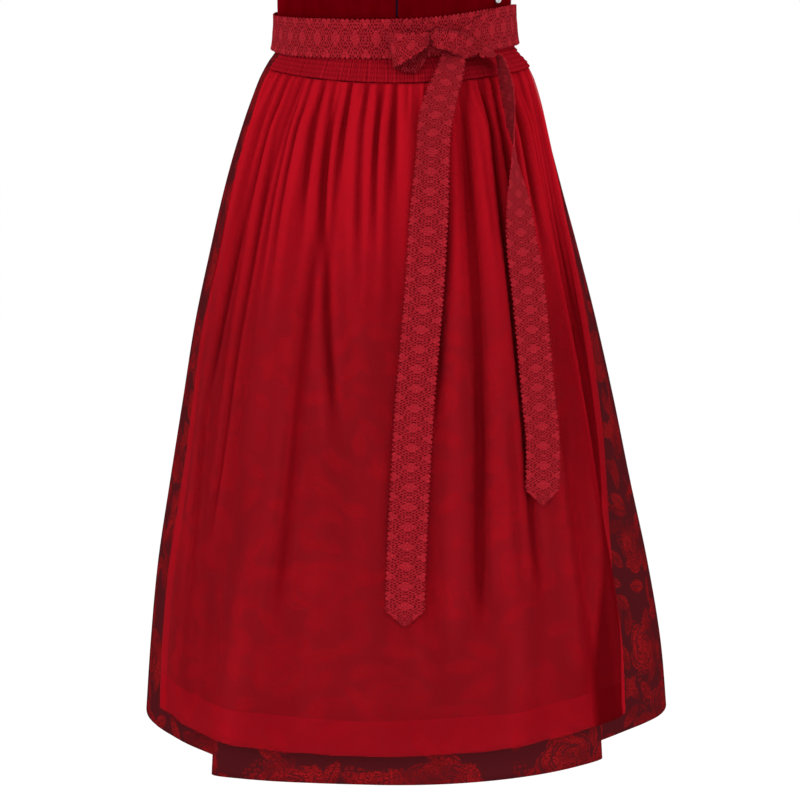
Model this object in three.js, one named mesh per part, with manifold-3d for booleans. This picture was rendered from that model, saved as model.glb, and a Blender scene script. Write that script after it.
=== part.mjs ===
// Dirndl in its worn shape, with no wearer: a velvet bodice, a pleated jacquard skirt, a gathered
// organza apron and an embossed ribbon tied in a bow at the front.
// Millimetres. +Z is up, the front faces -Y and +X is the side of the bow. The origin is the
// centre of the waist, at the middle of the ribbon.

import * as THREE from 'three';
import { mergeVertices } from 'three/addons/utils/BufferGeometryUtils.js';
import Module from 'manifold-3d';

const wasm = await Module();
wasm.setup();

// ---------------------------------------------------------------- driving sizes

const velvetThickness = 1.6;
const jacquardThickness = 1.4;
const organzaThickness = 1.0;
const ribbonThickness = 1.2;
const seamGap = 0.3;

const ribbonWidth = 39;
const diamondPitch = 20.5; // length of one embossed diamond along the ribbon
const diamondRelief = 0.6;

const ribbonTop = ribbonWidth / 2;
const ribbonFoot = -ribbonWidth / 2;
const hemLevel = -764;
const pleatGap = 2.7; // from one layer of a pressed pleat to the next
const skirtInset = 1.0; // the skirt's cloth lies inside the form, under the apron's
const sideSeam = 96; // degrees round from the centre front
const seamAngle = 0.08; // degrees that a seam keeps clear on each side

// Size of the filled garment at each level: half its width, how far its middle lies to the
// right, and its depth in front of and behind the waist's centre.
const form = [
  { z: -776, half: 298.5, shift: 11.5, front: 262, back: 267 },
  { z: -688, half: 290.5, shift: 10.5, front: 254, back: 259 },
  { z: -594, half: 277, shift: 7, front: 242, back: 246 },
  { z: -501, half: 259, shift: 4, front: 224, back: 228 },
  { z: -410, half: 241.5, shift: 2, front: 207, back: 210 },
  { z: -319, half: 223, shift: -1, front: 188, back: 191 },
  { z: -229, half: 201, shift: -3, front: 166, back: 168 },
  { z: -185, half: 189.5, shift: -4, front: 154, back: 157 },
  { z: -141, half: 177.5, shift: -4, front: 142, back: 145 },
  { z: -97, half: 164.5, shift: -3, front: 129, back: 131 },
  { z: -75, half: 157.5, shift: -2, front: 122, back: 124 },
  { z: -50, half: 148.5, shift: -1, front: 114, back: 116 },
  { z: -32, half: 139.5, shift: 0, front: 106, back: 106 },
  { z: -20, half: 130, shift: -1, front: 98, back: 97 },
  { z: 0, half: 126.5, shift: -2, front: 95, back: 93 },
  { z: 30, half: 125.5, shift: -3, front: 96, back: 92 },
  { z: 60, half: 127, shift: -2, front: 102, back: 93 },
  { z: 110, half: 134, shift: 0, front: 118, back: 98 },
  { z: 165, half: 144, shift: 0, front: 134, back: 104 },
  { z: 215, half: 150, shift: 0, front: 131, back: 110 },
  { z: 300, half: 146, shift: 0, front: 110, back: 111 },
];

// Skirt front, from its left side seam to its right one. At each fold the cloth doubles back,
// so the angle runs backwards for a stretch. lift is how far the cloth stands out of the form
// at the hem, layer its place in a pressed pleat, drop how far its hem hangs below the others.
const skirtFrontFolds = [
  { angle: -sideSeam, lift: 0, layer: 0, drop: 0 },
  { angle: -88, lift: 0, layer: 0, drop: 0 },
  { angle: -80, lift: -1, layer: 0, drop: 0 },
  { angle: -72, lift: -4, layer: -0.1, drop: 0 },
  { angle: -64, lift: -6, layer: -0.6, drop: 0 },
  { angle: -56, lift: -4, layer: -1.4, drop: 0 },
  { angle: -49, lift: -2, layer: -1.9, drop: 0 },
  { angle: -42, lift: 0, layer: -2, drop: 1 },
  { angle: -36, lift: 1, layer: -2, drop: 2 },
  { angle: -34.4, lift: 4, layer: -1.5, drop: 4 },
  { angle: -36, lift: 8, layer: -1, drop: 6 },
  { angle: -40.4, lift: 12, layer: -1, drop: 8 },
  { angle: -42, lift: 16, layer: -0.5, drop: 10 },
  { angle: -40.4, lift: 20, layer: 0, drop: 10 },
  { angle: -34, lift: 22, layer: 0, drop: 6 },
  { angle: -27, lift: 21, layer: 0, drop: 3 },
  { angle: -19, lift: 17, layer: 0, drop: 1 },
  { angle: -11, lift: 14, layer: 0, drop: 0 },
  { angle: -3, lift: 12, layer: 0, drop: 0 },
  { angle: 5, lift: 11, layer: 0, drop: 0 },
  { angle: 13, lift: 10, layer: 0, drop: 0 },
  { angle: 21, lift: 9, layer: 0, drop: 0 },
  { angle: 29, lift: 8, layer: 0, drop: 0 },
  { angle: 37, lift: 6, layer: 0, drop: 0 },
  { angle: 43.4, lift: 4, layer: 0, drop: 0 },
  { angle: 45, lift: 0, layer: -0.5, drop: 0 },
  { angle: 43.4, lift: -4, layer: -1, drop: 0 },
  { angle: 38.6, lift: -14, layer: -1, drop: 0 },
  { angle: 37, lift: -21, layer: -1.5, drop: 0 },
  { angle: 38.6, lift: -28, layer: -2, drop: 0 },
  { angle: 45, lift: -32, layer: -2, drop: 0 },
  { angle: 53, lift: -33, layer: -1.7, drop: 0 },
  { angle: 60, lift: -32, layer: -1.1, drop: 0 },
  { angle: 67, lift: -28, layer: -0.4, drop: 0 },
  { angle: 74, lift: -19, layer: 0, drop: 0 },
  { angle: 81, lift: -8, layer: 0, drop: 0 },
  { angle: 88, lift: -2, layer: 0, drop: 0 },
  { angle: sideSeam, lift: 0, layer: 0, drop: 0 },
];

// The pleats behind, mirrored about the centre back.
const backPleats = [
  { angle: 119, lift: 13 },
  { angle: 147, lift: 15 },
];

const skirtLevels = [0, -20, -33, -52, -88, -145, -225, -330, -460, -610, hemLevel];

// Apron. lift is how far it stands out of the form at its hem, hem the level of its lower edge.
const apronSpread = [
  { angle: -75, lift: 3, hem: -727 },
  { angle: -62, lift: 8, hem: -727 },
  { angle: -53, lift: 13, hem: -728 },
  { angle: -40, lift: 31, hem: -728 },
  { angle: -33, lift: 36, hem: -728 },
  { angle: -16, lift: 29, hem: -728 },
  { angle: 0, lift: 23, hem: -728 },
  { angle: 16, lift: 19, hem: -727 },
  { angle: 33, lift: 16, hem: -722 },
  { angle: 46, lift: 13, hem: -719 },
  { angle: 53, lift: 2, hem: -718 },
  { angle: 60, lift: -14, hem: -718 },
  { angle: 72, lift: -15, hem: -718 },
  { angle: 86, lift: 2, hem: -718 },
];

// How far round the apron reaches at each level.
const apronEdges = [
  { z: -776, left: -62, right: 57 },
  { z: -668, left: -64, right: 54.5 },
  { z: -555, left: -65, right: 59 },
  { z: -455, left: -64.5, right: 63.5 },
  { z: -300, left: -67, right: 68 },
  { z: -150, left: -68, right: 71.5 },
  { z: -80, left: -68.5, right: 76 },
  { z: 0, left: -69, right: 80 },
];

// The apron's large folds: the angles where each ridge starts and ends, the levels between which
// it runs, how far it rises and half its width in degrees.
const apronFolds = [
  { top: -60, foot: -52, from: -50, to: -760, rise: 6, spread: 5 },
  { top: -46, foot: -42, from: -50, to: -600, rise: 6, spread: 4.5 },
  { top: -32, foot: -35, from: -46, to: -760, rise: 9, spread: 6.5 },
  { top: -17, foot: -19, from: -330, to: -740, rise: 4, spread: 4 },
  { top: -10, foot: -7, from: -46, to: -760, rise: 9, spread: 7 },
  { top: 6, foot: 3, from: -60, to: -720, rise: 5, spread: 5 },
  { top: 19, foot: 9, from: -60, to: -640, rise: 8, spread: 3.5 },
  { top: 32, foot: 20, from: -46, to: -760, rise: 12, spread: 5 },
  { top: 45, foot: 34, from: -60, to: -740, rise: 6, spread: 5 },
  { top: 58, foot: 47, from: -50, to: -740, rise: 8, spread: 6 },
];

const foldStart = 50; // over this height a fold rises from nothing
const foldEnd = 110; // and over this one it dies away
const gatherCount = 22;
const gatherRise = 4.2;
const gatherLevels = { start: -46, crest: -95, end: -340 };
const gatherStray = [{ size: 0.3, turns: 23 }, { size: 0.2, turns: 57 }]; // unevenness
const apronClear = 2.6; // from the skirt's cloth to the apron's, at the waist
const apronLevels = [-46, -58, -76, -102, -142, -198, -268, -352, -442, -532, -622, -690, -728];
const apronColumns = 84;
const hemDepth = 38;
const hemRise = 0.6; // the apron's hem is folded double

// Shirred head of the apron, gathered by five rows of thread.
const shirringRows = 5;
const shirringTop = -2;
const shirringColumns = 30;
const shirringRise = 0.9;
const shirringOut = 1.5; // from the form, under the ribbon
const shirringFoot = { middle: -45.2, sides: -37 };
const shirringStart = 0.42; // share of its height that lies plain under the ribbon
const shirringReach = { left: -69, right: 80 };

// Bodice: the level of its upper edge round the body.
const bodiceTop = [
  { angle: 0, z: 176 },
  { angle: 12, z: 180 },
  { angle: 24, z: 193 },
  { angle: 34, z: 206 },
  { angle: 43, z: 207 },
  { angle: 52, z: 206 },
  { angle: 66, z: 184 },
  { angle: 80, z: 168 },
  { angle: 96, z: 163 },
  { angle: 112, z: 175 },
  { angle: 126, z: 215 },
  { angle: 138, z: 272 },
  { angle: 144, z: 290 },
  { angle: 152, z: 290 },
  { angle: 160, z: 290 },
  { angle: 170, z: 287 },
  { angle: 180, z: 286 },
];
const bodiceRows = 9;
const bodiceColumns = { front: 15, back: 22 };
const frontOpening = 1.0; // half the gap over the zip

const strapAngles = { front: 43, back: 152 };
const strapWidth = 36;
const strapGap = 0.9; // from the bodice's upper edge to the strap's end

// A strap's middle line, from the bodice's front edge over the shoulder to its back edge. The
// first row is measured from its front end, the last one from its back end.
const strapRun = [
  { x: 2, y: 6, z: 55 },
  { x: 102, y: -70, z: 354 },
  { x: 100, y: -32, z: 394 },
  { x: 98, y: -4, z: 404 },
  { x: 95, y: 28, z: 394 },
  { x: 14, y: -24, z: 71 },
];
const strapSteps = 20;

// Ribbon round the waist: the level of its edges and its distance from the form.
const waistbandRun = [
  { angle: -70, top: 17, foot: -19.5 },
  { angle: -40, top: 18, foot: -19.2 },
  { angle: 0, top: ribbonTop, foot: ribbonFoot },
  { angle: 20, top: 21.5, foot: -17.5 },
  { angle: 50, top: 27, foot: -12 },
  { angle: 81, top: 28, foot: -11 },
];
const tieLeftRun = [
  { angle: -214, top: 21, foot: -18, out: 3.4 },
  { angle: -198, top: 20, foot: -19, out: 3.8 },
  { angle: -180, top: 19, foot: -20, out: 5.5 },
  { angle: -120, top: 18, foot: -21, out: 5.5 },
  { angle: -90, top: 17, foot: -18, out: 5.5 },
  { angle: -60, top: 17.5, foot: -20.5, out: 5.5 },
  { angle: -30, top: 18.6, foot: -20.4, out: 5.5 },
  { angle: 0, top: 19, foot: -19.6, out: 5.5 },
  { angle: 14, top: 17, foot: -17, out: 5.5 },
  { angle: 21, top: 9, foot: -9, out: 5.9 },
];
const tieRightRun = [
  { angle: 31, top: 8, foot: -7, out: 7.5 },
  { angle: 38, top: 15, foot: -11, out: 7.1 },
  { angle: 47, top: 23.5, foot: -14, out: 6.5 },
  { angle: 60, top: 28.5, foot: -13, out: 6.1 },
  { angle: 90, top: 27, foot: -12, out: 5.7 },
  { angle: 120, top: 23, foot: -16, out: 5.5 },
  { angle: 140, top: 21, foot: -18, out: 5.7 },
  { angle: 152, top: 20.5, foot: -18.5, out: 6.1 },
  { angle: 164, top: 20, foot: -19, out: 6.2 },
];
const waistbandOut = 3.8;
const waistbandLength = 330;
const tieLeftLength = 470;
const tieRightLength = 295;

// Bow. The knot's rings from its upper left to its lower right.
const knotRings = [
  { x: 33, y: -108, z: 2, radius: 4, depth: 5 },
  { x: 40, y: -106.4, z: 1.5, radius: 8, depth: 8.8 },
  { x: 52, y: -103.5, z: -0.5, radius: 9, depth: 9.5 },
  { x: 64, y: -99.5, z: -4, radius: 9.5, depth: 9 },
  { x: 73, y: -96, z: -9.5, radius: 9.2, depth: 8.5 },
  { x: 79, y: -94, z: -15.5, radius: 7.6, depth: 7 },
  { x: 81.5, y: -94, z: -20.5, radius: 4, depth: 4 },
];
const knotSides = 12;

// The loop's ribbon from the knot's front, round the bend at the left and back behind itself.
// height is the ribbon's width as it shows, lean and forward how far its lower edge lies to the
// right of and in front of its upper one.
const loopRun = [
  { x: 34, y: -114.5, z: 1, height: 12, lean: -1, forward: 0 },
  { x: 25, y: -120.5, z: -2.5, height: 19, lean: -3, forward: 2 },
  { x: 13, y: -125.5, z: -6, height: 26, lean: -2, forward: 3 },
  { x: 2, y: -124.5, z: -9, height: 31, lean: 3, forward: 2 },
  { x: -4.5, y: -121, z: -10, height: 33, lean: 6, forward: 2 },
  { x: -6.5, y: -116.5, z: -11, height: 34, lean: 7, forward: 4 },
  { x: -2.5, y: -112.5, z: -12.5, height: 35, lean: 8, forward: 6 },
  { x: 6, y: -111, z: -15, height: 36, lean: 8, forward: 9 },
  { x: 17, y: -110.5, z: -16, height: 34, lean: 6, forward: 10 },
  { x: 26, y: -110.5, z: -12.5, height: 25, lean: 4, forward: 8 },
  { x: 31.5, y: -111.6, z: -8, height: 14, lean: 2, forward: 4 },
];

// The two tails. x and z place the ribbon's middle, turn twists it about its own length, and
// away holds it off the apron where it hangs from the knot. width is the share of the ribbon's
// width that lies open.
const longTailRun = [
  { x: 60, z: -15, turn: 26, away: 5.8, width: 0.6 },
  { x: 57, z: -29, turn: 28, away: 8, width: 0.68 },
  { x: 51, z: -44, turn: 32, away: 10, width: 0.78 },
  { x: 43.5, z: -63, turn: 38, away: 12, width: 0.9 },
  { x: 38.5, z: -84, turn: 44, away: 13, width: 1 },
  { x: 36.5, z: -110, turn: 44, away: 13, width: 1 },
  { x: 35, z: -142, turn: 34, away: 11, width: 1 },
  { x: 33, z: -180, turn: 18, away: 6, width: 1 },
  { x: 28, z: -258, turn: 3, away: 1, width: 1 },
  { x: 19, z: -361, turn: 0, away: 0, width: 1 },
  { x: 14, z: -442, turn: 0, away: 0, width: 1 },
  { x: 9.4, z: -537, turn: 0, away: 0, width: 1 },
  { x: 8, z: -590, turn: 0, away: 0, width: 1 },
];
const shortTailRun = [
  { x: 86, z: -12, turn: -48, away: 15.7, width: 0.5 },
  { x: 94, z: -12, turn: -54, away: 18, width: 0.6 },
  { x: 103, z: -17, turn: -62, away: 19.5, width: 0.74 },
  { x: 110.5, z: -28, turn: -68, away: 20.5, width: 0.88 },
  { x: 115.5, z: -43, turn: -72, away: 21, width: 1 },
  { x: 119, z: -60, turn: -72, away: 20, width: 1 },
  { x: 121.5, z: -80, turn: -66, away: 19, width: 1 },
  { x: 123.5, z: -104, turn: -58, away: 17, width: 1 },
  { x: 125.5, z: -136, turn: -42, away: 14, width: 1 },
  { x: 128, z: -170, turn: -22, away: 8, width: 1 },
  { x: 131, z: -210, turn: -8, away: 3, width: 1 },
  { x: 138, z: -262, turn: 0, away: 0, width: 1 },
  { x: 148, z: -364, turn: 0, away: 0, width: 1 },
  { x: 153.5, z: -412, turn: 0, away: 0, width: 1 },
  { x: 153.5, z: -478, turn: 0, away: 0, width: 1 },
];
const tailPoint = 16; // length of a tail's pointed end
const tailTipWidth = 5;
const tailClear = 2.4; // from the apron's highest fold to the ribbon
const tailReach = { side: 22, sideStep: 7, drop: 12 }; // how far round a tail the folds count
const tailLean = 0.8; // share of the skirt's roundness that a tail turns with
const tailSamples = 8;
const tailSmoothing = 3;

// Zip at the centre front, with the slider at its closed end.
const zipFoot = 22;
const zipHead = 168;
const zipWidth = 6;
const zipDepth = 1.4;
const zipSteps = 12;
const zipBehind = 0.9; // from the bodice's wall to the chain
const sliderLength = 9;
const sliderWidth = 5.4;
const sliderDepth = 2.2;
const bailWidth = 1.8;
const bailHeight = 3.4; // how far the slider's bail stands off its body
const bailWall = 0.9;
const pullLength = 24;
const pullWidth = 6;
const pullThickness = 1.2;
const pullBar = 1.0; // the bar of the pull that lies under the bail
const pullRim = 1.3; // beside the pull's eye
const pullRise = 0.8; // of the pull's bar above the slider's middle
const bailSink = 0.5; // how deep the bail is rooted in the slider's body

const buttonPlace = { angle: 60, z: 38.5 };
const buttonRadius = 5.5;
const buttonDepth = 2.4;
const buttonDish = 1.2; // height of its sunk middle
const buttonClear = 0.5;

// ---------------------------------------------------------------- tables and the form

const radians = THREE.MathUtils.degToRad;

// Value of a column at a key, on a smooth curve through the rows of a table.
function valueAt(table, key, at, column) {
  const last = table.length - 1;
  const clamped = Math.min(Math.max(at, table[0][key]), table[last][key]);
  let i = 0;
  while (i < last - 1 && clamped > table[i + 1][key]) i += 1;
  const before = table[Math.max(i - 1, 0)];
  const after = table[Math.min(i + 2, last)];
  const from = table[i];
  const to = table[i + 1];
  const span = to[key] - from[key];
  const t = (clamped - from[key]) / span;
  const slopeIn = ((to[column] - before[column]) / (to[key] - before[key])) * span;
  const slopeOut = ((after[column] - from[column]) / (after[key] - from[key])) * span;
  const square = t * t;
  const cube = square * t;
  return (2 * cube - 3 * square + 1) * from[column] + (cube - 2 * square + t) * slopeIn
    + (3 * square - 2 * cube) * to[column] + (cube - square) * slopeOut;
}

// Rows on a smooth curve through a table whose key may run backwards, evenly from row to row.
function rowsThrough(table, perSpan) {
  const numbered = table.map((row, index) => ({ ...row, index }));
  const columns = Object.keys(table[0]);
  const count = (table.length - 1) * perSpan;
  return Array.from({ length: count + 1 }, (unused, step) => {
    const at = step / perSpan;
    const values = columns.map((column) => [column, valueAt(numbered, 'index', at, column)]);
    return Object.fromEntries(values);
  });
}

// A point of the filled form, `out` millimetres outside it.
function formPoint(angle, z, out) {
  const turn = radians(angle);
  const half = valueAt(form, 'z', z, 'half') + out;
  const depth = valueAt(form, 'z', z, Math.cos(turn) > 0 ? 'front' : 'back') + out;
  const x = valueAt(form, 'z', z, 'shift') + half * Math.sin(turn);
  return new THREE.Vector3(x, -depth * Math.cos(turn), z);
}

// 0 at the waist and 1 at the hem, as the skirt widens.
function flare(z) {
  const waist = valueAt(form, 'z', ribbonFoot, 'half');
  const hem = valueAt(form, 'z', hemLevel, 'half');
  return THREE.MathUtils.clamp((valueAt(form, 'z', z, 'half') - waist) / (hem - waist), 0, 1);
}

// ---------------------------------------------------------------- cloth walls

// A wall of cloth about a grid of points. Rows run down and columns to the right as seen from
// outside; raised(row, column) lifts the outer face over a plain inside.
function clothWall(grid, thickness, raised = () => 0) {
  const rows = grid.length;
  const columns = grid[0].length;
  const outer = [];
  const inner = [];
  for (let i = 0; i < rows; i += 1) {
    for (let j = 0; j < columns; j += 1) {
      const point = grid[i][j];
      const down = grid[Math.min(i + 1, rows - 1)][j].clone().sub(grid[Math.max(i - 1, 0)][j]);
      const right = grid[i][Math.min(j + 1, columns - 1)].clone().sub(grid[i][Math.max(j - 1, 0)]);
      const normal = down.cross(right).normalize();
      outer.push(point.clone().addScaledVector(normal, thickness / 2 + raised(i, j)));
      inner.push(point.clone().addScaledVector(normal, -thickness / 2));
    }
  }
  const out = (i, j) => i * columns + j;
  const back = (i, j) => rows * columns + i * columns + j;
  const index = [];
  const quad = (a, b, c, d) => index.push(a, b, c, a, c, d);
  for (let i = 0; i < rows - 1; i += 1) {
    for (let j = 0; j < columns - 1; j += 1) {
      const low = raised(i, j) + raised(i + 1, j + 1) <= raised(i + 1, j) + raised(i, j + 1);
      if (low) quad(out(i, j), out(i + 1, j), out(i + 1, j + 1), out(i, j + 1));
      else quad(out(i + 1, j), out(i + 1, j + 1), out(i, j + 1), out(i, j));
      quad(back(i, j), back(i, j + 1), back(i + 1, j + 1), back(i + 1, j));
    }
  }
  for (let j = 0; j < columns - 1; j += 1) {
    quad(out(0, j), out(0, j + 1), back(0, j + 1), back(0, j));
    quad(out(rows - 1, j + 1), out(rows - 1, j), back(rows - 1, j), back(rows - 1, j + 1));
  }
  for (let i = 0; i < rows - 1; i += 1) {
    quad(out(i + 1, 0), out(i, 0), back(i, 0), back(i + 1, 0));
    quad(out(i, columns - 1), out(i + 1, columns - 1), back(i + 1, columns - 1), back(i, columns - 1));
  }
  const geometry = new THREE.BufferGeometry().setFromPoints([...outer, ...inner]);
  geometry.setIndex(index);
  geometry.computeVertexNormals();
  return geometry;
}

// The embossed diamonds: high in each diamond's middle, low where its outlines cross.
const diamonds = (i, j) => ((i + j) % 2 === 0 ? 0 : diamondRelief);

// ---------------------------------------------------------------- skirt

function skirtGrid(folds) {
  return skirtLevels.map((level) => folds.map((fold) => {
    const z = level - fold.drop * flare(level) ** 3;
    const out = fold.lift * flare(level) + fold.layer * pleatGap - skirtInset;
    return formPoint(fold.angle, z, out);
  }));
}

// Folds of the back panel, from the right side seam round to the left one. Each pleat's edge
// points to its side seam.
function skirtBackFolds() {
  const half = [
    { angle: sideSeam + 2 * seamAngle, lift: 0, layer: 0, drop: 0 },
    { angle: 103, lift: 0, layer: -0.4, drop: 0 },
    { angle: 109, lift: 0, layer: -1.4, drop: 0 },
  ];
  for (const pleat of backPleats) {
    const row = (turn, rise, layer) => half.push(
      { angle: pleat.angle + turn, lift: pleat.lift * rise, layer, drop: 0 });
    row(-4, 0, -2);
    row(4.4, 0, -2);
    row(6, 0.25, -1.5);
    row(4.4, 0.5, -1);
    row(0, 0.75, -1);
    row(-1.8, 1, -0.5);
    row(0, 1.2, 0);
    row(7, 1, 0);
    row(14, 0.6, -0.6);
  }
  half.push({ angle: 170, lift: 8, layer: 0, drop: 0 });
  const mirrored = half.map((fold) => ({ ...fold, angle: 360 - fold.angle })).reverse();
  return [...half, { angle: 180, lift: 6, layer: 0, drop: 0 }, ...mirrored];
}

// ---------------------------------------------------------------- apron

// 0 outside a stretch of levels and 1 in its middle part, rising and falling softly.
function fade(z, from, to) {
  const start = THREE.MathUtils.smoothstep(-z, -from, -from + foldStart);
  return start * (1 - THREE.MathUtils.smoothstep(-z, -to - foldEnd, -to));
}

// How far the apron's cloth stands out of the form.
function apronOut(angle, z) {
  const left = valueAt(apronEdges, 'z', z, 'left');
  const right = valueAt(apronEdges, 'z', z, 'right');
  const across = (angle - left) / (right - left);
  let out = valueAt(apronSpread, 'angle', angle, 'lift') * flare(z) + apronClear;
  for (const fold of apronFolds) {
    const down = THREE.MathUtils.clamp((z - fold.from) / (fold.to - fold.from), 0, 1);
    const offset = (angle - THREE.MathUtils.lerp(fold.top, fold.foot, down)) / fold.spread;
    out += fold.rise * fade(z, fold.from, fold.to) * Math.exp(-offset * offset);
  }
  const stray = gatherStray.reduce((sum, { size, turns }) => sum + size * Math.sin(turns * across), 0);
  const wave = gatherCount * across + stray;
  const { start, crest, end } = gatherLevels;
  const height = (0.25 + 0.75 * THREE.MathUtils.smoothstep(-z, -start, -crest))
    * (1 - THREE.MathUtils.smoothstep(-z, -crest, -end));
  out += gatherRise * height * (0.5 - 0.5 * Math.cos(2 * Math.PI * wave));
  return out;
}

function apronGrid() {
  return apronLevels.map((level, row) => Array.from({ length: apronColumns + 1 }, (unused, j) => {
    const left = valueAt(apronEdges, 'z', level, 'left');
    const right = valueAt(apronEdges, 'z', level, 'right');
    const angle = THREE.MathUtils.lerp(left, right, j / apronColumns);
    const foot = valueAt(apronSpread, 'angle', angle, 'hem');
    const head = shirringLevel(angle, 1) - 2 * seamGap;
    const z = THREE.MathUtils.mapLinear(level, apronLevels[0], apronLevels.at(-1), head, foot);
    return formPoint(angle, row === 0 ? head : z, apronOut(angle, z));
  }));
}

// Level of the shirred head, 0 at its upper edge and 1 at its foot.
function shirringLevel(angle, down) {
  const { middle, sides } = shirringFoot;
  const foot = sides + (middle - sides) * Math.cos(radians(angle)) ** 2;
  return THREE.MathUtils.lerp(shirringTop, foot, down);
}

// Plain under the ribbon, then two rows of points for each row of thread.
function shirringGrid() {
  const { left, right } = shirringReach;
  const steps = [0];
  for (let step = 0; step <= 2 * shirringRows; step += 1) {
    steps.push(THREE.MathUtils.lerp(shirringStart, 1, step / (2 * shirringRows)));
  }
  return steps.map((down) => Array.from({ length: shirringColumns + 1 }, (unused, j) => {
    const angle = THREE.MathUtils.lerp(left, right, j / shirringColumns);
    const share = Math.max((down - shirringStart) / (1 - shirringStart), 0);
    const out = THREE.MathUtils.lerp(shirringOut, apronClear, share);
    return formPoint(angle, shirringLevel(angle, down), out);
  }));
}

// ---------------------------------------------------------------- bodice

function bodiceTopLevel(angle) {
  const turn = Math.abs(angle);
  return valueAt(bodiceTop, 'angle', turn > 180 ? 360 - turn : turn, 'z');
}

// The angle at which the form's front crosses x 0, where the opening runs straight up.
function openingAngle(z) {
  const sine = -valueAt(form, 'z', z, 'shift') / valueAt(form, 'z', z, 'half');
  return THREE.MathUtils.radToDeg(Math.asin(sine));
}

function bodiceGrid(from, to, columns) {
  return Array.from({ length: bodiceRows + 1 }, (unused, i) => (
    Array.from({ length: columns + 1 }, (unusedToo, j) => {
      const angle = THREE.MathUtils.lerp(from, to, j / columns);
      const z = THREE.MathUtils.lerp(bodiceTopLevel(angle), seamGap, i / bodiceRows);
      const turn = openingAngle(z) * Math.max(1 - Math.abs(angle) / sideSeam, 0);
      return formPoint(angle + turn, z, 0);
    })
  ));
}

// A strap from the bodice's front edge over the shoulder to its back edge, side -1 or 1.
function strapGrid(side) {
  const end = (angle) => formPoint(angle, bodiceTopLevel(angle) + strapGap, 0);
  const along = (angle) => end(angle + 1).sub(end(angle - 1)).setZ(0).normalize();
  const front = end(strapAngles.front);
  const back = end(strapAngles.back);
  const run = strapRun.map(({ x, y, z }) => new THREE.Vector3(x, y, z));
  run[0].add(front);
  run.at(-1).add(back);
  const points = new THREE.CatmullRomCurve3([front, ...run, back]).getPoints(strapSteps);
  const frontWay = along(strapAngles.front);
  const backWay = along(strapAngles.back).negate();
  const level = new THREE.Vector3(1, 0, 0);
  return points.map((point, i) => {
    const fromFront = Math.min(i / (0.4 * strapSteps), 1);
    const toBack = Math.max((i - 0.6 * strapSteps) / (0.4 * strapSteps), 0);
    const way = frontWay.clone().lerp(level, fromFront).lerp(backWay, toBack).normalize();
    const edges = [-0.5, -0.17, 0.17, 0.5].map((v) => {
      const edge = point.clone().addScaledVector(way, v * strapWidth);
      return edge.setX(side * edge.x);
    });
    return side > 0 ? edges : edges.reverse();
  });
}

// ---------------------------------------------------------------- ribbon

// A stretch of ribbon round the waist, half a diamond from one column to the next.
function waistGrid(run, length, out) {
  const first = run[0].angle;
  const last = run.at(-1).angle;
  const steps = Math.round(length / (diamondPitch / 2));
  return [0, 0.5, 1].map((down) => Array.from({ length: steps + 1 }, (unused, j) => {
    const angle = THREE.MathUtils.lerp(first, last, j / steps);
    const top = valueAt(run, 'angle', angle, 'top');
    const foot = valueAt(run, 'angle', angle, 'foot');
    const z = THREE.MathUtils.lerp(top, foot, down);
    return formPoint(angle, z, out ?? valueAt(run, 'angle', angle, 'out'));
  }));
}

// The angle at which the apron's cloth has a given x, at a level.
function apronAngle(x, z, out) {
  const shift = valueAt(form, 'z', z, 'shift');
  const half = valueAt(form, 'z', z, 'half') + out;
  return THREE.MathUtils.radToDeg(Math.asin(THREE.MathUtils.clamp((x - shift) / half, -1, 1)));
}

// The apron's greatest reach near a place, over a tail's width.
function apronReach(x, z) {
  const { side, sideStep, drop } = tailReach;
  let reach = 0;
  for (let aside = -side; aside <= side; aside += sideStep) {
    for (const lower of [-drop, 0, drop]) {
      const level = Math.min(z + lower, ribbonFoot);
      reach = Math.max(reach, apronOut(apronAngle(x + aside, level, reach), level));
    }
  }
  return reach;
}

// The rows of a tail's table, each with its angle and place in front of the apron.
function tailPoints(run) {
  const points = rowsThrough(run, tailSamples).map((row) => {
    const out = apronReach(row.x, row.z) + tailClear + row.away;
    const angle = apronAngle(row.x, row.z, out);
    return { ...row, angle, place: formPoint(angle, row.z, out) };
  });
  return points.map((point, i) => {
    const near = points.slice(Math.max(i - tailSmoothing, 0), i + tailSmoothing + 1);
    const y = near.reduce((sum, other) => sum + other.place.y, 0) / near.length;
    return { ...point, place: new THREE.Vector3(point.x, y, point.z) };
  });
}

// A tail hanging over the apron, half a diamond from one row to the next.
function tailGrid(run) {
  const points = tailPoints(run);
  const path = new THREE.CatmullRomCurve3(points.map((point) => point.place));
  const length = path.getLength();
  const steps = Math.round(length / (diamondPitch / 2));
  return Array.from({ length: steps + 1 }, (unused, i) => {
    const place = path.getPointAt(i / steps);
    const along = path.getTangentAt(i / steps);
    const nearest = points.reduce((best, point) => (
      point.place.distanceTo(place) < best.place.distanceTo(place) ? point : best));
    const lean = radians(nearest.angle) * tailLean;
    const facing = new THREE.Vector3(Math.sin(lean), -Math.cos(lean), 0);
    facing.applyAxisAngle(along, radians(nearest.turn));
    const across = facing.clone().cross(along).normalize();
    const toPoint = Math.min((length * (1 - i / steps)) / tailPoint, 1);
    const width = THREE.MathUtils.lerp(tailTipWidth, ribbonWidth * nearest.width, toPoint);
    return [-0.5, 0, 0.5].map((v) => place.clone().addScaledVector(across, v * width));
  });
}

function loopGrid() {
  return rowsThrough(loopRun, 1).map((row) => [-0.5, 0, 0.5].map((v) => new THREE.Vector3(
    row.x + v * row.lean, row.y - v * row.forward, row.z - v * row.height)));
}

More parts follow.
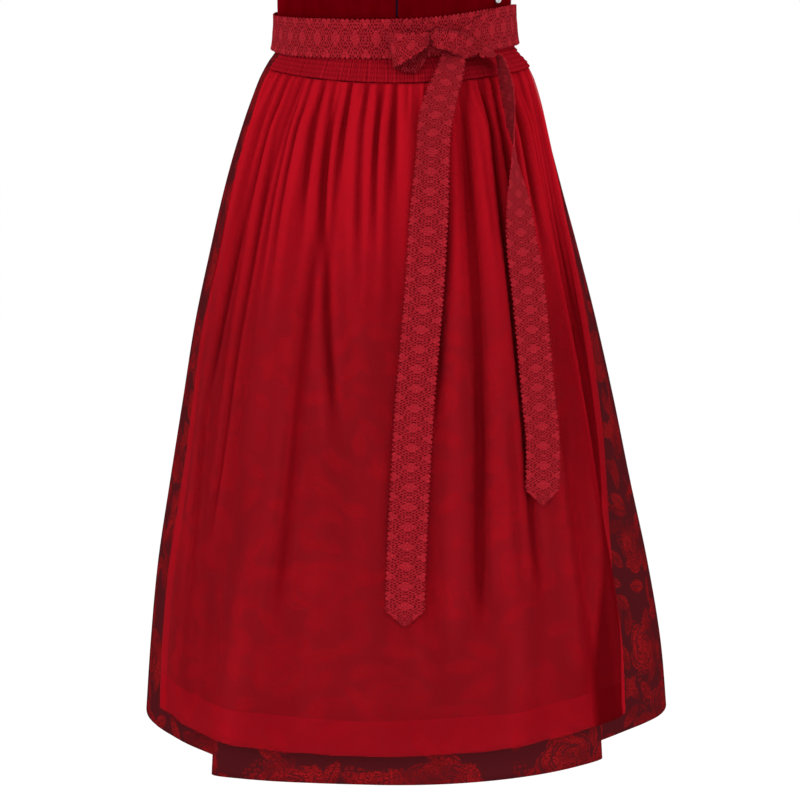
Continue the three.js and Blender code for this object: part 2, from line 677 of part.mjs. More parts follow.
// A rounded lump through the knot's rings, closed to a point at both ends.
function knotGeometry() {
  const points = [];
  knotRings.forEach((ring, i) => {
    const before = knotRings[Math.max(i - 1, 0)];
    const after = knotRings[Math.min(i + 1, knotRings.length - 1)];
    const slope = Math.atan2(after.z - before.z, after.x - before.x);
    for (let k = 0; k < knotSides; k += 1) {
      const turn = (2 * Math.PI * k) / knotSides;
      const up = ring.radius * Math.cos(turn);
      const y = ring.y - ring.depth * Math.sin(turn);
      const x = ring.x - up * Math.sin(slope);
      points.push(new THREE.Vector3(x, y, ring.z + up * Math.cos(slope)));
    }
  });
  const last = knotRings.length - 1;
  for (const ring of [knotRings[0], knotRings[last]]) {
    points.push(new THREE.Vector3(ring.x, ring.y, ring.z));
  }
  const index = [];
  const at = (i, k) => i * knotSides + (k % knotSides);
  for (let k = 0; k < knotSides; k += 1) {
    for (let i = 0; i < last; i += 1) {
      index.push(at(i, k), at(i, k + 1), at(i + 1, k + 1), at(i, k), at(i + 1, k + 1), at(i + 1, k));
    }
    index.push(points.length - 2, at(0, k + 1), at(0, k));
    index.push(points.length - 1, at(last, k), at(last, k + 1));
  }
  const geometry = new THREE.BufferGeometry().setFromPoints(points);
  geometry.setIndex(index);
  geometry.computeVertexNormals();
  return geometry;
}

// ---------------------------------------------------------------- metal

function toSolid(geometry) {
  const bare = geometry.clone();
  bare.deleteAttribute('normal');
  bare.deleteAttribute('uv');
  const merged = mergeVertices(bare);
  const vertProperties = new Float32Array(merged.attributes.position.array);
  const triVerts = new Uint32Array(merged.index.array);
  return new wasm.Manifold(new wasm.Mesh({ numProp: 3, vertProperties, triVerts }));
}

function toGeometry(solid) {
  const { vertProperties, triVerts } = solid.getMesh();
  const geometry = new THREE.BufferGeometry();
  geometry.setAttribute('position', new THREE.BufferAttribute(vertProperties, 3));
  geometry.setIndex(new THREE.BufferAttribute(triVerts, 1));
  geometry.computeVertexNormals();
  return geometry;
}

// The slider's body with its bail, at the origin; the body's front is at y 0.
function sliderGeometry() {
  const body = new THREE.BoxGeometry(sliderWidth, sliderDepth, sliderLength);
  body.translate(0, sliderDepth / 2, 0);
  const length = sliderLength - 2;
  const inside = bailHeight - bailWall;
  const bail = new THREE.BoxGeometry(bailWidth, bailHeight + bailSink, length);
  bail.translate(0, (bailSink - bailHeight) / 2, 0);
  const window = new THREE.BoxGeometry(2 * bailWidth, inside, length - 2 * bailWall);
  window.translate(0, -inside / 2, 0);
  return toGeometry(toSolid(body).add(toSolid(bail)).subtract(toSolid(window)));
}

// The pull tab, hanging from its bar at the origin.
function pullGeometry() {
  const half = pullWidth / 2;
  const shape = new THREE.Shape();
  shape.moveTo(-half, pullBar / 2);
  shape.lineTo(-half, -pullLength + half);
  shape.absarc(0, -pullLength + half, half, Math.PI, 2 * Math.PI, false);
  shape.lineTo(half, pullBar / 2);
  shape.closePath();
  const eye = new THREE.Path();
  const eyeHalf = half - pullRim;
  const eyeFoot = -sliderLength / 2 - pullRim;
  eye.moveTo(-eyeHalf, -pullBar / 2);
  eye.lineTo(eyeHalf, -pullBar / 2);
  eye.lineTo(eyeHalf, eyeFoot);
  eye.lineTo(-eyeHalf, eyeFoot);
  eye.closePath();
  shape.holes.push(eye);
  const settings = { depth: pullThickness, bevelEnabled: false, curveSegments: 6 };
  const plate = new THREE.ExtrudeGeometry(shape, settings);
  plate.translate(0, 0, -pullThickness / 2);
  plate.rotateX(Math.PI / 2);
  return plate;
}

// A round button with a rim and a sunk middle.
function buttonGeometry() {
  const profile = [
    { radius: 0, height: 0 },
    { radius: buttonRadius - 1, height: 0 },
    { radius: buttonRadius, height: 0.5 },
    { radius: buttonRadius, height: buttonDepth - 0.6 },
    { radius: buttonRadius - 0.8, height: buttonDepth },
    { radius: buttonRadius - 1.8, height: buttonDepth },
    { radius: buttonRadius - 2.6, height: buttonDish },
    { radius: 0, height: buttonDish },
  ];
  return new THREE.LatheGeometry(profile.map((row) => new THREE.Vector2(row.radius, row.height)), 20);
}

// ---------------------------------------------------------------- the dirndl

const cloth = (color, roughness) => new THREE.MeshStandardMaterial({
  color, roughness, metalness: 0, side: THREE.DoubleSide });
const velvet = () => cloth(0x5a0008, 0.95);
const jacquard = () => cloth(0x541018, 0.6);
const organza = () => cloth(0xa8101c, 0.55);
const embossed = () => cloth(0xa01c26, 0.85);
const metal = () => new THREE.MeshStandardMaterial({
  color: 0xb9b9bb, roughness: 0.3, metalness: 1 });

const dirndl = new THREE.Group();

function add(name, geometry, material, parent = dirndl) {
  const mesh = new THREE.Mesh(geometry, material);
  mesh.name = name;
  parent.add(mesh);
  return mesh;
}

function addBodice() {
  const edge = THREE.MathUtils.radToDeg(frontOpening / valueAt(form, 'z', 30, 'half'));
  const seam = sideSeam - seamAngle;
  const panels = {
    bodice_front_left: bodiceGrid(-seam, -edge, bodiceColumns.front),
    bodice_front_right: bodiceGrid(edge, seam, bodiceColumns.front),
    bodice_back: bodiceGrid(seam + 2 * seamAngle, 360 - seam - 2 * seamAngle, bodiceColumns.back),
    strap_left: strapGrid(-1),
    strap_right: strapGrid(1),
  };
  for (const [name, grid] of Object.entries(panels)) {
    add(name, clothWall(grid, velvetThickness), velvet());
  }
}

function addZip() {
  const behind = (velvetThickness + zipDepth) / 2 + zipBehind;
  const strip = Array.from({ length: zipSteps + 1 }, (unused, i) => {
    const z = THREE.MathUtils.lerp(zipHead, zipFoot, i / zipSteps);
    const middle = formPoint(openingAngle(z), z, -behind);
    return [-0.5, 0.5].map((v) => middle.clone().setX(middle.x + v * zipWidth));
  });
  add('zip_chain', clothWall(strip, zipDepth), metal());
  const fastening = new THREE.Group();
  const level = zipHead - sliderLength / 2;
  const [foot, head] = [-0.5, 0.5].map((v) => (
    formPoint(0, level + v * sliderLength, velvetThickness / 2 + seamGap)));
  fastening.position.set(foot.x, Math.min(foot.y, head.y) - sliderDepth, level);
  dirndl.add(fastening);
  add('zip_slider', sliderGeometry(), metal(), fastening);
  const pull = add('zip_pull_tab', pullGeometry(), metal(), fastening);
  pull.position.set(0, -(bailHeight - bailWall) / 2, pullRise);
}

function addButton() {
  const button = add('metal_button', buttonGeometry(), metal());
  const { angle, z } = buttonPlace;
  const place = formPoint(angle, z, velvetThickness / 2 + buttonClear);
  const beside = formPoint(angle + 1, z, 0).sub(formPoint(angle - 1, z, 0));
  const above = formPoint(angle, z + 1, 0).sub(formPoint(angle, z - 1, 0));
  const outward = beside.cross(above).normalize();
  button.position.copy(place);
  button.quaternion.setFromUnitVectors(new THREE.Vector3(0, 1, 0), outward);
}

function addSkirt() {
  add('skirt_front', clothWall(skirtGrid(skirtFrontFolds), jacquardThickness), jacquard());
  add('skirt_back', clothWall(skirtGrid(skirtBackFolds()), jacquardThickness), jacquard());
}

function addApron() {
  const shirred = (i) => (i >= 2 && i % 2 === 0 ? shirringRise : 0);
  add('apron_shirring', clothWall(shirringGrid(), organzaThickness, shirred), organza());
  const hemmed = (i) => (apronLevels[i] < apronLevels.at(-1) + hemDepth + seamGap ? hemRise : 0);
  add('apron_panel', clothWall(apronGrid(), organzaThickness, hemmed), organza());
}

function addRibbon() {
  const band = waistGrid(waistbandRun, waistbandLength, waistbandOut);
  add('apron_waistband', clothWall(band, ribbonThickness), embossed());
  const left = waistGrid(tieLeftRun, tieLeftLength);
  add('tie_left', clothWall(left, ribbonThickness, diamonds), embossed());
  const right = waistGrid(tieRightRun, tieRightLength);
  add('tie_right', clothWall(right, ribbonThickness, diamonds), embossed());
  add('bow_knot', knotGeometry(), embossed());
  add('bow_loop', clothWall(loopGrid(), ribbonThickness), embossed());
  add('tail_long', clothWall(tailGrid(longTailRun), ribbonThickness, diamonds), embossed());
  add('tail_short', clothWall(tailGrid(shortTailRun), ribbonThickness, diamonds), embossed());
}

addBodice();
addZip();
addButton();
addSkirt();
addApron();
addRibbon();

export default dirndl;
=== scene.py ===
import math

import bpy
import numpy as np
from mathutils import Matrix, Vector


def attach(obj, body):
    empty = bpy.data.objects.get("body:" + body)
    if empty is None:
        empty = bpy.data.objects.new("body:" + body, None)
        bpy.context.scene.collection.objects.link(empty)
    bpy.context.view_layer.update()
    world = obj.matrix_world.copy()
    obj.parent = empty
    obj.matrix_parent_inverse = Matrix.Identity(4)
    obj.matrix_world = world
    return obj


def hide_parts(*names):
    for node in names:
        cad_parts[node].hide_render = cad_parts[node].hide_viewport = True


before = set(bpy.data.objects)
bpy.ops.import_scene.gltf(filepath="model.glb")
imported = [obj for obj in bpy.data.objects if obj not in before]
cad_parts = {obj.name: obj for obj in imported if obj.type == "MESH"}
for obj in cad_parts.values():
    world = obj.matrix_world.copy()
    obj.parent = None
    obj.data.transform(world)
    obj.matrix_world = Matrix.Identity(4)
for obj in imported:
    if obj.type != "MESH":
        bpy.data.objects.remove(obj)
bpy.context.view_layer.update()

mm = 0.001
body = "dress"  # every cloth piece made here rides on it; the zip's pull is not attached


# The filled dress: half its width at each level, how far its middle lies to the right, and
# its depth in front of and behind the waist. Lengths are in millimetres, angles in degrees.
form = {
    "z": [-776, -688, -594, -501, -410, -319, -229, -185, -141, -97, -75, -50, -32, -20,
          0, 30, 60, 110, 165, 215, 300],
    "half": [298.5, 290.5, 277, 259, 241.5, 223, 201, 189.5, 177.5, 164.5, 157.5, 148.5,
             139.5, 130, 126.5, 125.5, 127, 134, 144, 150, 146],
    "shift": [11.5, 10.5, 7, 4, 2, -1, -3, -4, -4, -3, -2, -1, 0, -1, -2, -3, -2, 0, 0, 0, 0],
    "front": [262, 254, 242, 224, 207, 188, 166, 154, 142, 129, 122, 114, 106, 98,
              95, 96, 102, 118, 134, 131, 110],
    "back": [267, 259, 246, 228, 210, 191, 168, 157, 145, 131, 124, 116, 106, 97,
             93, 92, 93, 98, 104, 110, 111],
}
ribbonWidth = 39
ribbonFoot = -ribbonWidth / 2
hemLevel = -764
sideSeam = 96  # degrees round from the centre front


def valueAt(table, key, at, column):  # smooth curve through a table's rows
    keys = np.array(table[key], float)
    values = np.array(table[column], float)
    at = np.clip(np.asarray(at, float), keys[0], keys[-1])
    i = np.clip(np.searchsorted(keys, at) - 1, 0, len(keys) - 2)
    before = np.maximum(i - 1, 0)
    after = np.minimum(i + 2, len(keys) - 1)
    span = keys[i + 1] - keys[i]
    t = (at - keys[i]) / span
    slopeIn = (values[i + 1] - values[before]) / (keys[i + 1] - keys[before]) * span
    slopeOut = (values[after] - values[i]) / (keys[after] - keys[i]) * span
    return ((2 * t ** 3 - 3 * t ** 2 + 1) * values[i] + (t ** 3 - 2 * t ** 2 + t) * slopeIn
            + (3 * t ** 2 - 2 * t ** 3) * values[i + 1] + (t ** 3 - t ** 2) * slopeOut)


def alongRows(table, share, column):  # the same, from a table's first row at 0 to its last at 1
    rows = len(table[column])
    numbered = {"row": range(rows), column: table[column]}
    return valueAt(numbered, "row", np.asarray(share) * (rows - 1), column)


def rowAt(table, share):
    return {column: alongRows(table, share, column) for column in table}


def formAt(z, column):
    return valueAt(form, "z", z, column)


def softStep(value, low, high):
    t = np.clip((value - low) / (high - low), 0, 1)
    return t * t * (3 - 2 * t)


def formPoint(angle, z, out):
    turn = np.radians(angle)
    half = formAt(z, "half") + out
    front, back = (formAt(z, column) for column in ("front", "back"))
    depth = np.where(np.cos(turn) > 0, front, back)
    x = formAt(z, "shift") + half * np.sin(turn)
    return np.stack([x, -(depth + out) * np.cos(turn), z + 0 * x], axis=-1)


def flare(z):  # 0 at the waist, 1 at the hem
    waist, hem = formAt([ribbonFoot, hemLevel], "half")
    return np.clip((formAt(z, "half") - waist) / (hem - waist), 0, 1)


creaseFade = {"in": 50, "out": 110}  # how far along a crease takes to rise and to die out


def creaseRise(creases, angle, z):  # soft ridges and troughs that start, lean and end
    rise = 0 * angle
    for top, foot, start, end, height, width in creases:
        down = np.clip((z - start) / (end - start), 0, 1)
        fade = softStep(-z, -start, -start + creaseFade["in"])
        fade = fade * (1 - softStep(-z, -end - creaseFade["out"], -end))
        offset = (angle - top - (foot - top) * down) / width
        rise = rise + height * fade * np.exp(-offset * offset)
    return rise


def newMaterial(name):
    material = bpy.data.materials.new(name)
    material.use_nodes = True
    return material, material.node_tree, material.node_tree.nodes["Principled BSDF"]


def addNode(tree, kind, inputs=None, **settings):
    node = tree.nodes.new(kind)
    for key, value in settings.items():
        setattr(node, key, value)
    for key, value in (inputs or {}).items():
        if isinstance(value, bpy.types.NodeSocket):
            tree.links.new(value, node.inputs[key])
        else:
            node.inputs[key].default_value = value
    return node


def calc(tree, operation, a, b=0.0, c=0.0, clamp=False):
    node = addNode(tree, "ShaderNodeMath", {0: a, 1: b, 2: c}, operation=operation, use_clamp=clamp)
    return node.outputs[0]


def fadeBetween(tree, value, low, high):  # 0 below low, 1 above high
    node = addNode(tree, "ShaderNodeMapRange", {0: value, 1: low, 2: high, 3: 0.0, 4: 1.0},
                   interpolation_type="SMOOTHSTEP")
    return node.outputs[0]


def mixColour(tree, share, first, second):
    node = addNode(tree, "ShaderNodeMix", {0: share, 6: first, 7: second}, data_type="RGBA")
    return node.outputs[2]


def uvPlace(tree, shift=(0, 0, 0), scale=(1, 1, 1)):  # the cloth's own flat place, in metres
    place = addNode(tree, "ShaderNodeUVMap", uv_map="UVMap").outputs[0]
    return addNode(tree, "ShaderNodeMapping", {0: place, 1: shift, 3: scale}).outputs[0]


def noise(tree, scale, detail=2.0, stretch=(1, 1, 1), place=None):
    if place is None:
        place = uvPlace(tree, scale=stretch)
    return addNode(tree, "ShaderNodeTexNoise", {"Vector": place, "Scale": scale, "Detail": detail}).outputs[0]


def times(tree, *factors):
    product = factors[0]
    for factor in factors[1:]:
        product = calc(tree, "MULTIPLY", product, factor)
    return product


def setShader(shader, values):
    for key, value in values.items():
        shader.inputs[key].default_value = value


def voronoi(tree, place, cell, randomness, **settings):
    inputs = {"Vector": place, "Scale": 1 / cell, "Randomness": randomness}
    return addNode(tree, "ShaderNodeTexVoronoi", inputs, voronoi_dimensions="2D", **settings).outputs


def addBump(tree, shader, height, distance, strength=1.0):
    bump = addNode(tree, "ShaderNodeBump", {"Height": height, "Distance": distance, "Strength": strength})
    tree.links.new(bump.outputs[0], shader.inputs["Normal"])


def finishCloth(tree, shader, look, colour, height, strength=1.0):
    tree.links.new(colour, shader.inputs["Base Color"])
    setShader(shader, {"Roughness": look["roughness"], "Specular IOR Level": 0.0, **look.get("sheen", {})})
    addBump(tree, shader, height, look["relief"], strength)


jacquardLook = {
    "ground": (0.064, 0.0062, 0.0082, 1), "thread": (0.275, 0.007, 0.009, 1),
    "shade": (0.125, 0.0045, 0.0065, 1), "roughness": 0.6,
    "rose": 0.031, "roseCell": 0.1, "petals": 5.0, "whorls": 3.0, "whorlTurn": 17.0, "rings": 21.0,
    "leafLength": 0.02, "leafWidth": 0.0072, "leafCells": (0.038, 0.034), "rib": (0.0002, 0.0006),
    "teeth": 2600.0, "veins": 1900.0, "berry": 0.0018, "berryCell": 0.047, "spray": (0.017, 0.013),
    "grain": 520.0, "cloud": 30.0, "twill": 420.0, "relief": 0.0003,
}


def cellPlace(tree, cell, shift, randomness):  # place inside a cell, turned at random
    place = uvPlace(tree, (*shift, 0))
    cells = voronoi(tree, place, cell, randomness)
    local = addNode(tree, "ShaderNodeVectorMath", {0: place, 1: cells["Position"]},
                    operation="SUBTRACT").outputs[0]
    pick = addNode(tree, "ShaderNodeSeparateColor", {0: cells["Color"]})
    turn = times(tree, pick.outputs[0], 2 * math.pi)
    turned = addNode(tree, "ShaderNodeVectorRotate", {"Vector": local, "Angle": turn},
                     rotation_type="Z_AXIS").outputs[0]
    split = addNode(tree, "ShaderNodeSeparateXYZ", {0: turned})
    return split.outputs[0], split.outputs[1], pick.outputs[1]


def leafShapes(tree, cell, shift, length, width):  # a toothed leaf with a midrib and veins in each cell
    x, y, pick = cellPlace(tree, cell, shift, 0.6)
    away = calc(tree, "ABSOLUTE", y)
    teeth = times(tree, calc(tree, "SINE", times(tree, x, jacquardLook["teeth"])), 0.07)
    reach = times(tree, x, 1 / length)
    side = times(tree, away, 1 / width)
    inside = calc(tree, "SUBTRACT", 1.0, times(tree, reach, reach))
    inside = calc(tree, "SUBTRACT", calc(tree, "ADD", inside, teeth), side)
    leaf = fadeBetween(tree, inside, 0.0, 0.22)
    rib = fadeBetween(tree, away, *jacquardLook["rib"])
    veins = calc(tree, "SINE", times(tree, calc(tree, "SUBTRACT", x, away), jacquardLook["veins"]))
    veins = fadeBetween(tree, veins, -0.9, -0.5)
    lines = times(tree, rib, calc(tree, "MULTIPLY_ADD", veins, 0.45, 0.55))
    shown = calc(tree, "GREATER_THAN", pick, 0.2)
    return times(tree, leaf, lines, shown)


def roseShapes(tree, cell, shift, radius):  # a lobed flower with whorls crossed by wavy rings
    look = jacquardLook
    x, y = cellPlace(tree, cell, shift, 0.5)[:2]
    turn = calc(tree, "ARCTAN2", y, x)
    reach = calc(tree, "SQRT", calc(tree, "ADD", times(tree, x, x), times(tree, y, y)))
    reach = times(tree, reach, 1 / radius)
    lobes = calc(tree, "ABSOLUTE", calc(tree, "SINE", times(tree, turn, look["petals"] / 2)))
    edge = calc(tree, "MULTIPLY_ADD", lobes, 0.2, 0.8)
    flower = fadeBetween(tree, calc(tree, "SUBTRACT", edge, reach), 0.0, 0.03)
    whorl = calc(tree, "MULTIPLY_ADD", turn, look["whorls"], times(tree, reach, look["whorlTurn"]))
    whorl = fadeBetween(tree, calc(tree, "SINE", whorl), -0.97, -0.6)
    wave = times(tree, calc(tree, "COSINE", times(tree, turn, look["petals"])), 0.9)
    rings = calc(tree, "SINE", calc(tree, "MULTIPLY_ADD", reach, look["rings"], wave))
    rings = fadeBetween(tree, rings, -0.96, -0.62)
    lines = times(tree, whorl, rings)
    return times(tree, flower, calc(tree, "MULTIPLY_ADD", lines, 0.8, 0.2))


def berryShapes(tree, cell, shift, size):  # small rings gathered in an oval spray
    x, y, pick = cellPlace(tree, cell, shift, 0.6)
    pitch = 2.6 * size
    spray = calc(tree, "ADD", times(tree, x, x), times(tree, y, y, 4.0))
    spray = fadeBetween(tree, calc(tree, "SQRT", spray), *jacquardLook["spray"])
    dot = times(tree, voronoi(tree, uvPlace(tree), pitch, 0.55)["Distance"], pitch)
    berry = fadeBetween(tree, dot, size, 0.75 * size)
    hole = fadeBetween(tree, dot, 0.2 * size, 0.5 * size)
    return times(tree, berry, hole, spray, calc(tree, "GREATER_THAN", pick, 0.35))


def makeJacquard():
    look = jacquardLook
    material, tree, shader = newMaterial("skirtJacquard")
    large, small = look["leafCells"]
    shapes = [
        roseShapes(tree, look["roseCell"], (0.02, 0.03), look["rose"]),
        leafShapes(tree, large, (0.31, 0.12), look["leafLength"], look["leafWidth"]),
        leafShapes(tree, small, (0.77, 0.52), look["leafLength"] * 0.8, look["leafWidth"] * 1.1),
        berryShapes(tree, look["berryCell"], (0.15, 0.9), look["berry"]),
    ]
    motif = shapes[0]
    for shape in shapes[1:]:
        motif = calc(tree, "MAXIMUM", motif, shape)
    grain = noise(tree, look["grain"])
    cloud = noise(tree, look["cloud"], detail=3.0)
    lit = times(tree, fadeBetween(tree, grain, 0.4, 0.6), fadeBetween(tree, cloud, 0.34, 0.66))
    motif = times(tree, motif, fadeBetween(tree, grain, 0.24, 0.5), fadeBetween(tree, cloud, 0.2, 0.5))
    thread = mixColour(tree, lit, look["shade"], look["thread"])
    colour = mixColour(tree, motif, look["ground"], thread)
    twill = addNode(tree, "ShaderNodeTexWave", {"Vector": uvPlace(tree), "Scale": look["twill"],
                    "Distortion": 1.5}, bands_direction="DIAGONAL").outputs[0]
    height = calc(tree, "MULTIPLY_ADD", motif, 0.7, times(tree, twill, 0.12))
    height = calc(tree, "MULTIPLY_ADD", grain, 0.25, height)
    finishCloth(tree, shader, look, colour, height, 0.7)
    return material


# deep is the darker end: darker streaks and clouds, and painted shade in the folds
organzaLook = {
    "colour": (0.55, 0.006, 0.016, 1), "deep": (0.12, 0.001, 0.003, 1), "roughness": 0.6,
    "alpha": 0.22, "valleyAlpha": 0.4, "gathered": 0.3, "gatherHeight": (0.36, 0.62),
    "edge": 0.306, "edgeAlpha": 0.2, "streaks": (220, 7, 1), "streakShare": 0.22,
    "clouds": (14, 5, 1), "cloudShare": 0.4, "valleyShade": 0.6, "weave": (900, 160, 1), "relief": 0.0002,
}
shirredLook = {**organzaLook, "colour": (0.36, 0.006, 0.014, 1), "deep": (0.10, 0.001, 0.003, 1),
               "alpha": 0.9}


def makeOrganza(name, look):
    material, tree, shader = newMaterial(name)
    streaks = times(tree, noise(tree, 1.0, detail=3.0, stretch=look["streaks"]), look["streakShare"])
    clouds = times(tree, noise(tree, 1.0, stretch=look["clouds"]), look["cloudShare"])
    # painted shading: darker in the fold valleys (painted shade), lighter on the ridges (painted highlight)
    paintedShading = addNode(tree, "ShaderNodeAttribute", attribute_name="paintedShading").outputs["Fac"]
    share = calc(tree, "ADD", calc(tree, "ADD", streaks, clouds), 0.4)
    share = calc(tree, "SUBTRACT", share, times(tree, paintedShading, look["valleyShade"]), clamp=True)
    colour = mixColour(tree, share, look["deep"], look["colour"])
    split = addNode(tree, "ShaderNodeSeparateXYZ", {0: uvPlace(tree)})
    side = calc(tree, "ABSOLUTE", split.outputs[0])
    full = times(tree, fadeBetween(tree, split.outputs[1], *look["gatherHeight"]), look["gathered"])
    doubled = fadeBetween(tree, side, look["edge"], look["edge"] + 0.001)  # the turned side edges
    doubled = times(tree, doubled, look["edgeAlpha"])
    cover = calc(tree, "MULTIPLY_ADD", calc(tree, "MAXIMUM", paintedShading, 0.0), look["valleyAlpha"], doubled)
    cover = calc(tree, "ADD", calc(tree, "ADD", cover, full), look["alpha"], clamp=True)
    tree.links.new(cover, shader.inputs["Alpha"])
    finishCloth(tree, shader, look, colour, noise(tree, 1.0, stretch=look["weave"]), 0.4)
    return material


diamond = {"pitch": 20.5, "halfWidth": 17.5, "halfHeight": 9.8}  # one embossed diamond, in millimetres
# highlight is the painted highlight colour; grainShade and insideShade set painted shade
ribbonLook = {
    "colour": (0.40, 0.013, 0.023, 1), "deep": (0.10, 0.002, 0.004, 1), "highlight": (0.50, 0.058, 0.074, 1),
    "dotRows": ((0.93, 5.5), (0.66, 4.0)), "dotWidth": (0.12, 0.02), "grain": 0.0034, "grainShade": 0.33,
    "fine": 1500.0, "worn": 90.0, "insideShade": 0.6, "roughness": 0.85, "relief": 0.0009,
    "sheen": {"Sheen Weight": 0.06, "Sheen Tint": (1.0, 0.2, 0.25, 1)},
}


def dottedDiamond(tree, x, y):  # double dotted outline round a plain oval
    side = times(tree, calc(tree, "ABSOLUTE", x), 1 / (diamond["halfWidth"] * mm))
    rise = times(tree, calc(tree, "ABSOLUTE", y), 1 / (diamond["halfHeight"] * mm))
    reach = calc(tree, "ADD", side, rise)
    along = calc(tree, "SUBTRACT", side, rise)
    lines = []
    for middle, count in ribbonLook["dotRows"]:
        near = calc(tree, "ABSOLUTE", calc(tree, "SUBTRACT", reach, middle))
        line = fadeBetween(tree, near, *ribbonLook["dotWidth"])
        dots = calc(tree, "COSINE", times(tree, along, math.pi * count))
        lines.append(times(tree, line, calc(tree, "MULTIPLY_ADD", dots, 0.42, 0.58)))
    return calc(tree, "MAXIMUM", lines[0], lines[1])


def makeRibbonCloth():
    look = ribbonLook
    material, tree, shader = newMaterial("embossedRibbon")
    split = addNode(tree, "ShaderNodeSeparateXYZ", {0: uvPlace(tree)})
    across, along = split.outputs[0], split.outputs[1]
    pitch = diamond["pitch"] * mm
    shapes = []
    for sideways, shift in ((0.0, 0.0), (ribbonWidth * mm / 2, 0.5)):
        moved = calc(tree, "ADD", along, shift * pitch)
        y = calc(tree, "PINGPONG", moved, pitch / 2)
        x = calc(tree, "SUBTRACT", calc(tree, "ABSOLUTE", across), sideways)
        shapes.append(dottedDiamond(tree, x, y))
    # the dips are pressed in and painted darker as painted shade in the recesses
    dips = calc(tree, "MAXIMUM", shapes[0], shapes[1])
    fine = noise(tree, look["fine"])
    worn = noise(tree, look["worn"])
    # fine cracks, pressed in and painted darker as painted shade
    cells = voronoi(tree, uvPlace(tree), look["grain"], 0.8, feature="DISTANCE_TO_EDGE")
    cracks = fadeBetween(tree, cells["Distance"], 0.16, 0.02)
    dips = calc(tree, "MAXIMUM", dips, times(tree, cracks, look["grainShade"]))
    # painted shade on the ribbon's inside where the piece carries it
    inside = addNode(tree, "ShaderNodeAttribute", attribute_name="paintedShading").outputs["Fac"]
    share = calc(tree, "MULTIPLY_ADD", worn, 0.25, times(tree, dips, 0.95))
    share = calc(tree, "ADD", share, times(tree, inside, look["insideShade"]))
    share = calc(tree, "MULTIPLY_ADD", fine, 0.2, share, clamp=True)
    colour = mixColour(tree, share, look["colour"], look["deep"])
    # painted highlight specks on the raised puffs, kept out of the dips
    highlightSpecks = calc(tree, "SUBTRACT", fadeBetween(tree, fine, 0.56, 0.72), dips, clamp=True)
    colour = mixColour(tree, highlightSpecks, colour, look["highlight"])
    finishCloth(tree, shader, look, colour, calc(tree, "SUBTRACT", times(tree, fine, 0.35), dips))
    return material


velvetLook = {
    "dark": (0.082, 0.0, 0.0012, 1), "light": (0.108, 0.0, 0.0022, 1), "roughness": 0.95,
    "nap": 60.0, "napStretch": (1, 0.35, 1), "pile": 2600.0, "relief": 0.0004,
    "sheen": {"Sheen Weight": 0.35, "Sheen Roughness": 0.35, "Sheen Tint": (0.6, 0.0, 0.012, 1)},
}


def makeVelvet():
    look = velvetLook
    material, tree, shader = newMaterial("bodiceVelvet")
    nap = noise(tree, look["nap"], detail=4.0, stretch=look["napStretch"])
    colour = mixColour(tree, fadeBetween(tree, nap, 0.3, 0.75), look["dark"], look["light"])
    finishCloth(tree, shader, look, colour, noise(tree, look["pile"], detail=1.0), 0.5)
    return material


metalLook = {"wear": 900.0, "wornShade": 0.7, "wornRoughness": 0.2, "relief": 0.00005}


def makeMetal(name, colour, roughness):
    look = metalLook
    material, tree, shader = newMaterial(name)
    place = addNode(tree, "ShaderNodeTexCoord").outputs["Object"]
    wear = noise(tree, look["wear"], detail=3.0, place=place)
    worn = (*(look["wornShade"] * share for share in colour[:3]), 1)
    tree.links.new(mixColour(tree, wear, colour, worn), shader.inputs["Base Color"])
    rough = addNode(tree, "ShaderNodeMapRange", {0: wear, 3: roughness, 4: roughness + look["wornRoughness"]})
    tree.links.new(rough.outputs[0], shader.inputs["Roughness"])
    setShader(shader, {"Metallic": 1.0})
    addBump(tree, shader, wear, look["relief"], 0.3)
    return material


velvet = makeVelvet()
jacquard = makeJacquard()
organza = makeOrganza("apronOrganza", organzaLook)
shirredOrganza = makeOrganza("shirredOrganza", shirredLook)
ribbonCloth = makeRibbonCloth()
steel = makeMetal("zipSteel", (0.30, 0.31, 0.34, 1), 0.3)
coil = makeMetal("zipCoil", (0.012, 0.012, 0.03, 1), 0.45)
silver = makeMetal("buttonSilver", (0.72, 0.72, 0.74, 1), 0.2)
print("materials ready")


# A grid laid on the shape that shape(across, down) gives in millimetres, both from 0 to 1.
def clothPanel(name, columns, rows, shape, flat, thickness, material, paintedShading=None):
    bpy.ops.object.select_all(action="DESELECT")
    bpy.ops.mesh.primitive_grid_add(x_subdivisions=columns, y_subdivisions=rows, size=1)
    piece = bpy.context.object
    piece.name = piece.data.name = name
    mesh = piece.data
    spots = np.empty(len(mesh.vertices) * 3)
    mesh.vertices.foreach_get("co", spots)
    spots = spots.reshape(-1, 3)
    across = spots[:, 0] + 0.5
    down = 0.5 - spots[:, 1]
    mesh.vertices.foreach_set("co", (shape(across, down) * mm).ravel())
    corner = np.empty(len(mesh.loops), int)
    mesh.loops.foreach_get("vertex_index", corner)
    flatPlace = np.stack([(across[corner] - 0.5) * flat[0], (1 - down[corner]) * flat[1]], axis=-1)
    mesh.uv_layers[0].name = "UVMap"
    mesh.uv_layers[0].data.foreach_set("uv", flatPlace.ravel())
    mesh.update()
    # an optional painted light value on the cloth: painted shade above 0, painted highlight below 0
    if paintedShading:
        shades = mesh.attributes.new("paintedShading", "FLOAT", "POINT")
        shades.data.foreach_set("value", paintedShading(across, down))
    piece.data.materials.append(material)
    area = sum(face.area for face in mesh.polygons)
    if thickness:
        wall = piece.modifiers.new("wall", "SOLIDIFY")
        wall.thickness = thickness * mm
        wall.offset = 0
        bpy.ops.object.modifier_apply(modifier=wall.name)
    bpy.ops.object.shade_smooth()
    print(f"{name}: {len(mesh.polygons)} faces, {area:.4f} m2")
    return piece


def settle(piece, node):
    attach(piece, body)
    if node:
        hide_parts(node)
    return piece


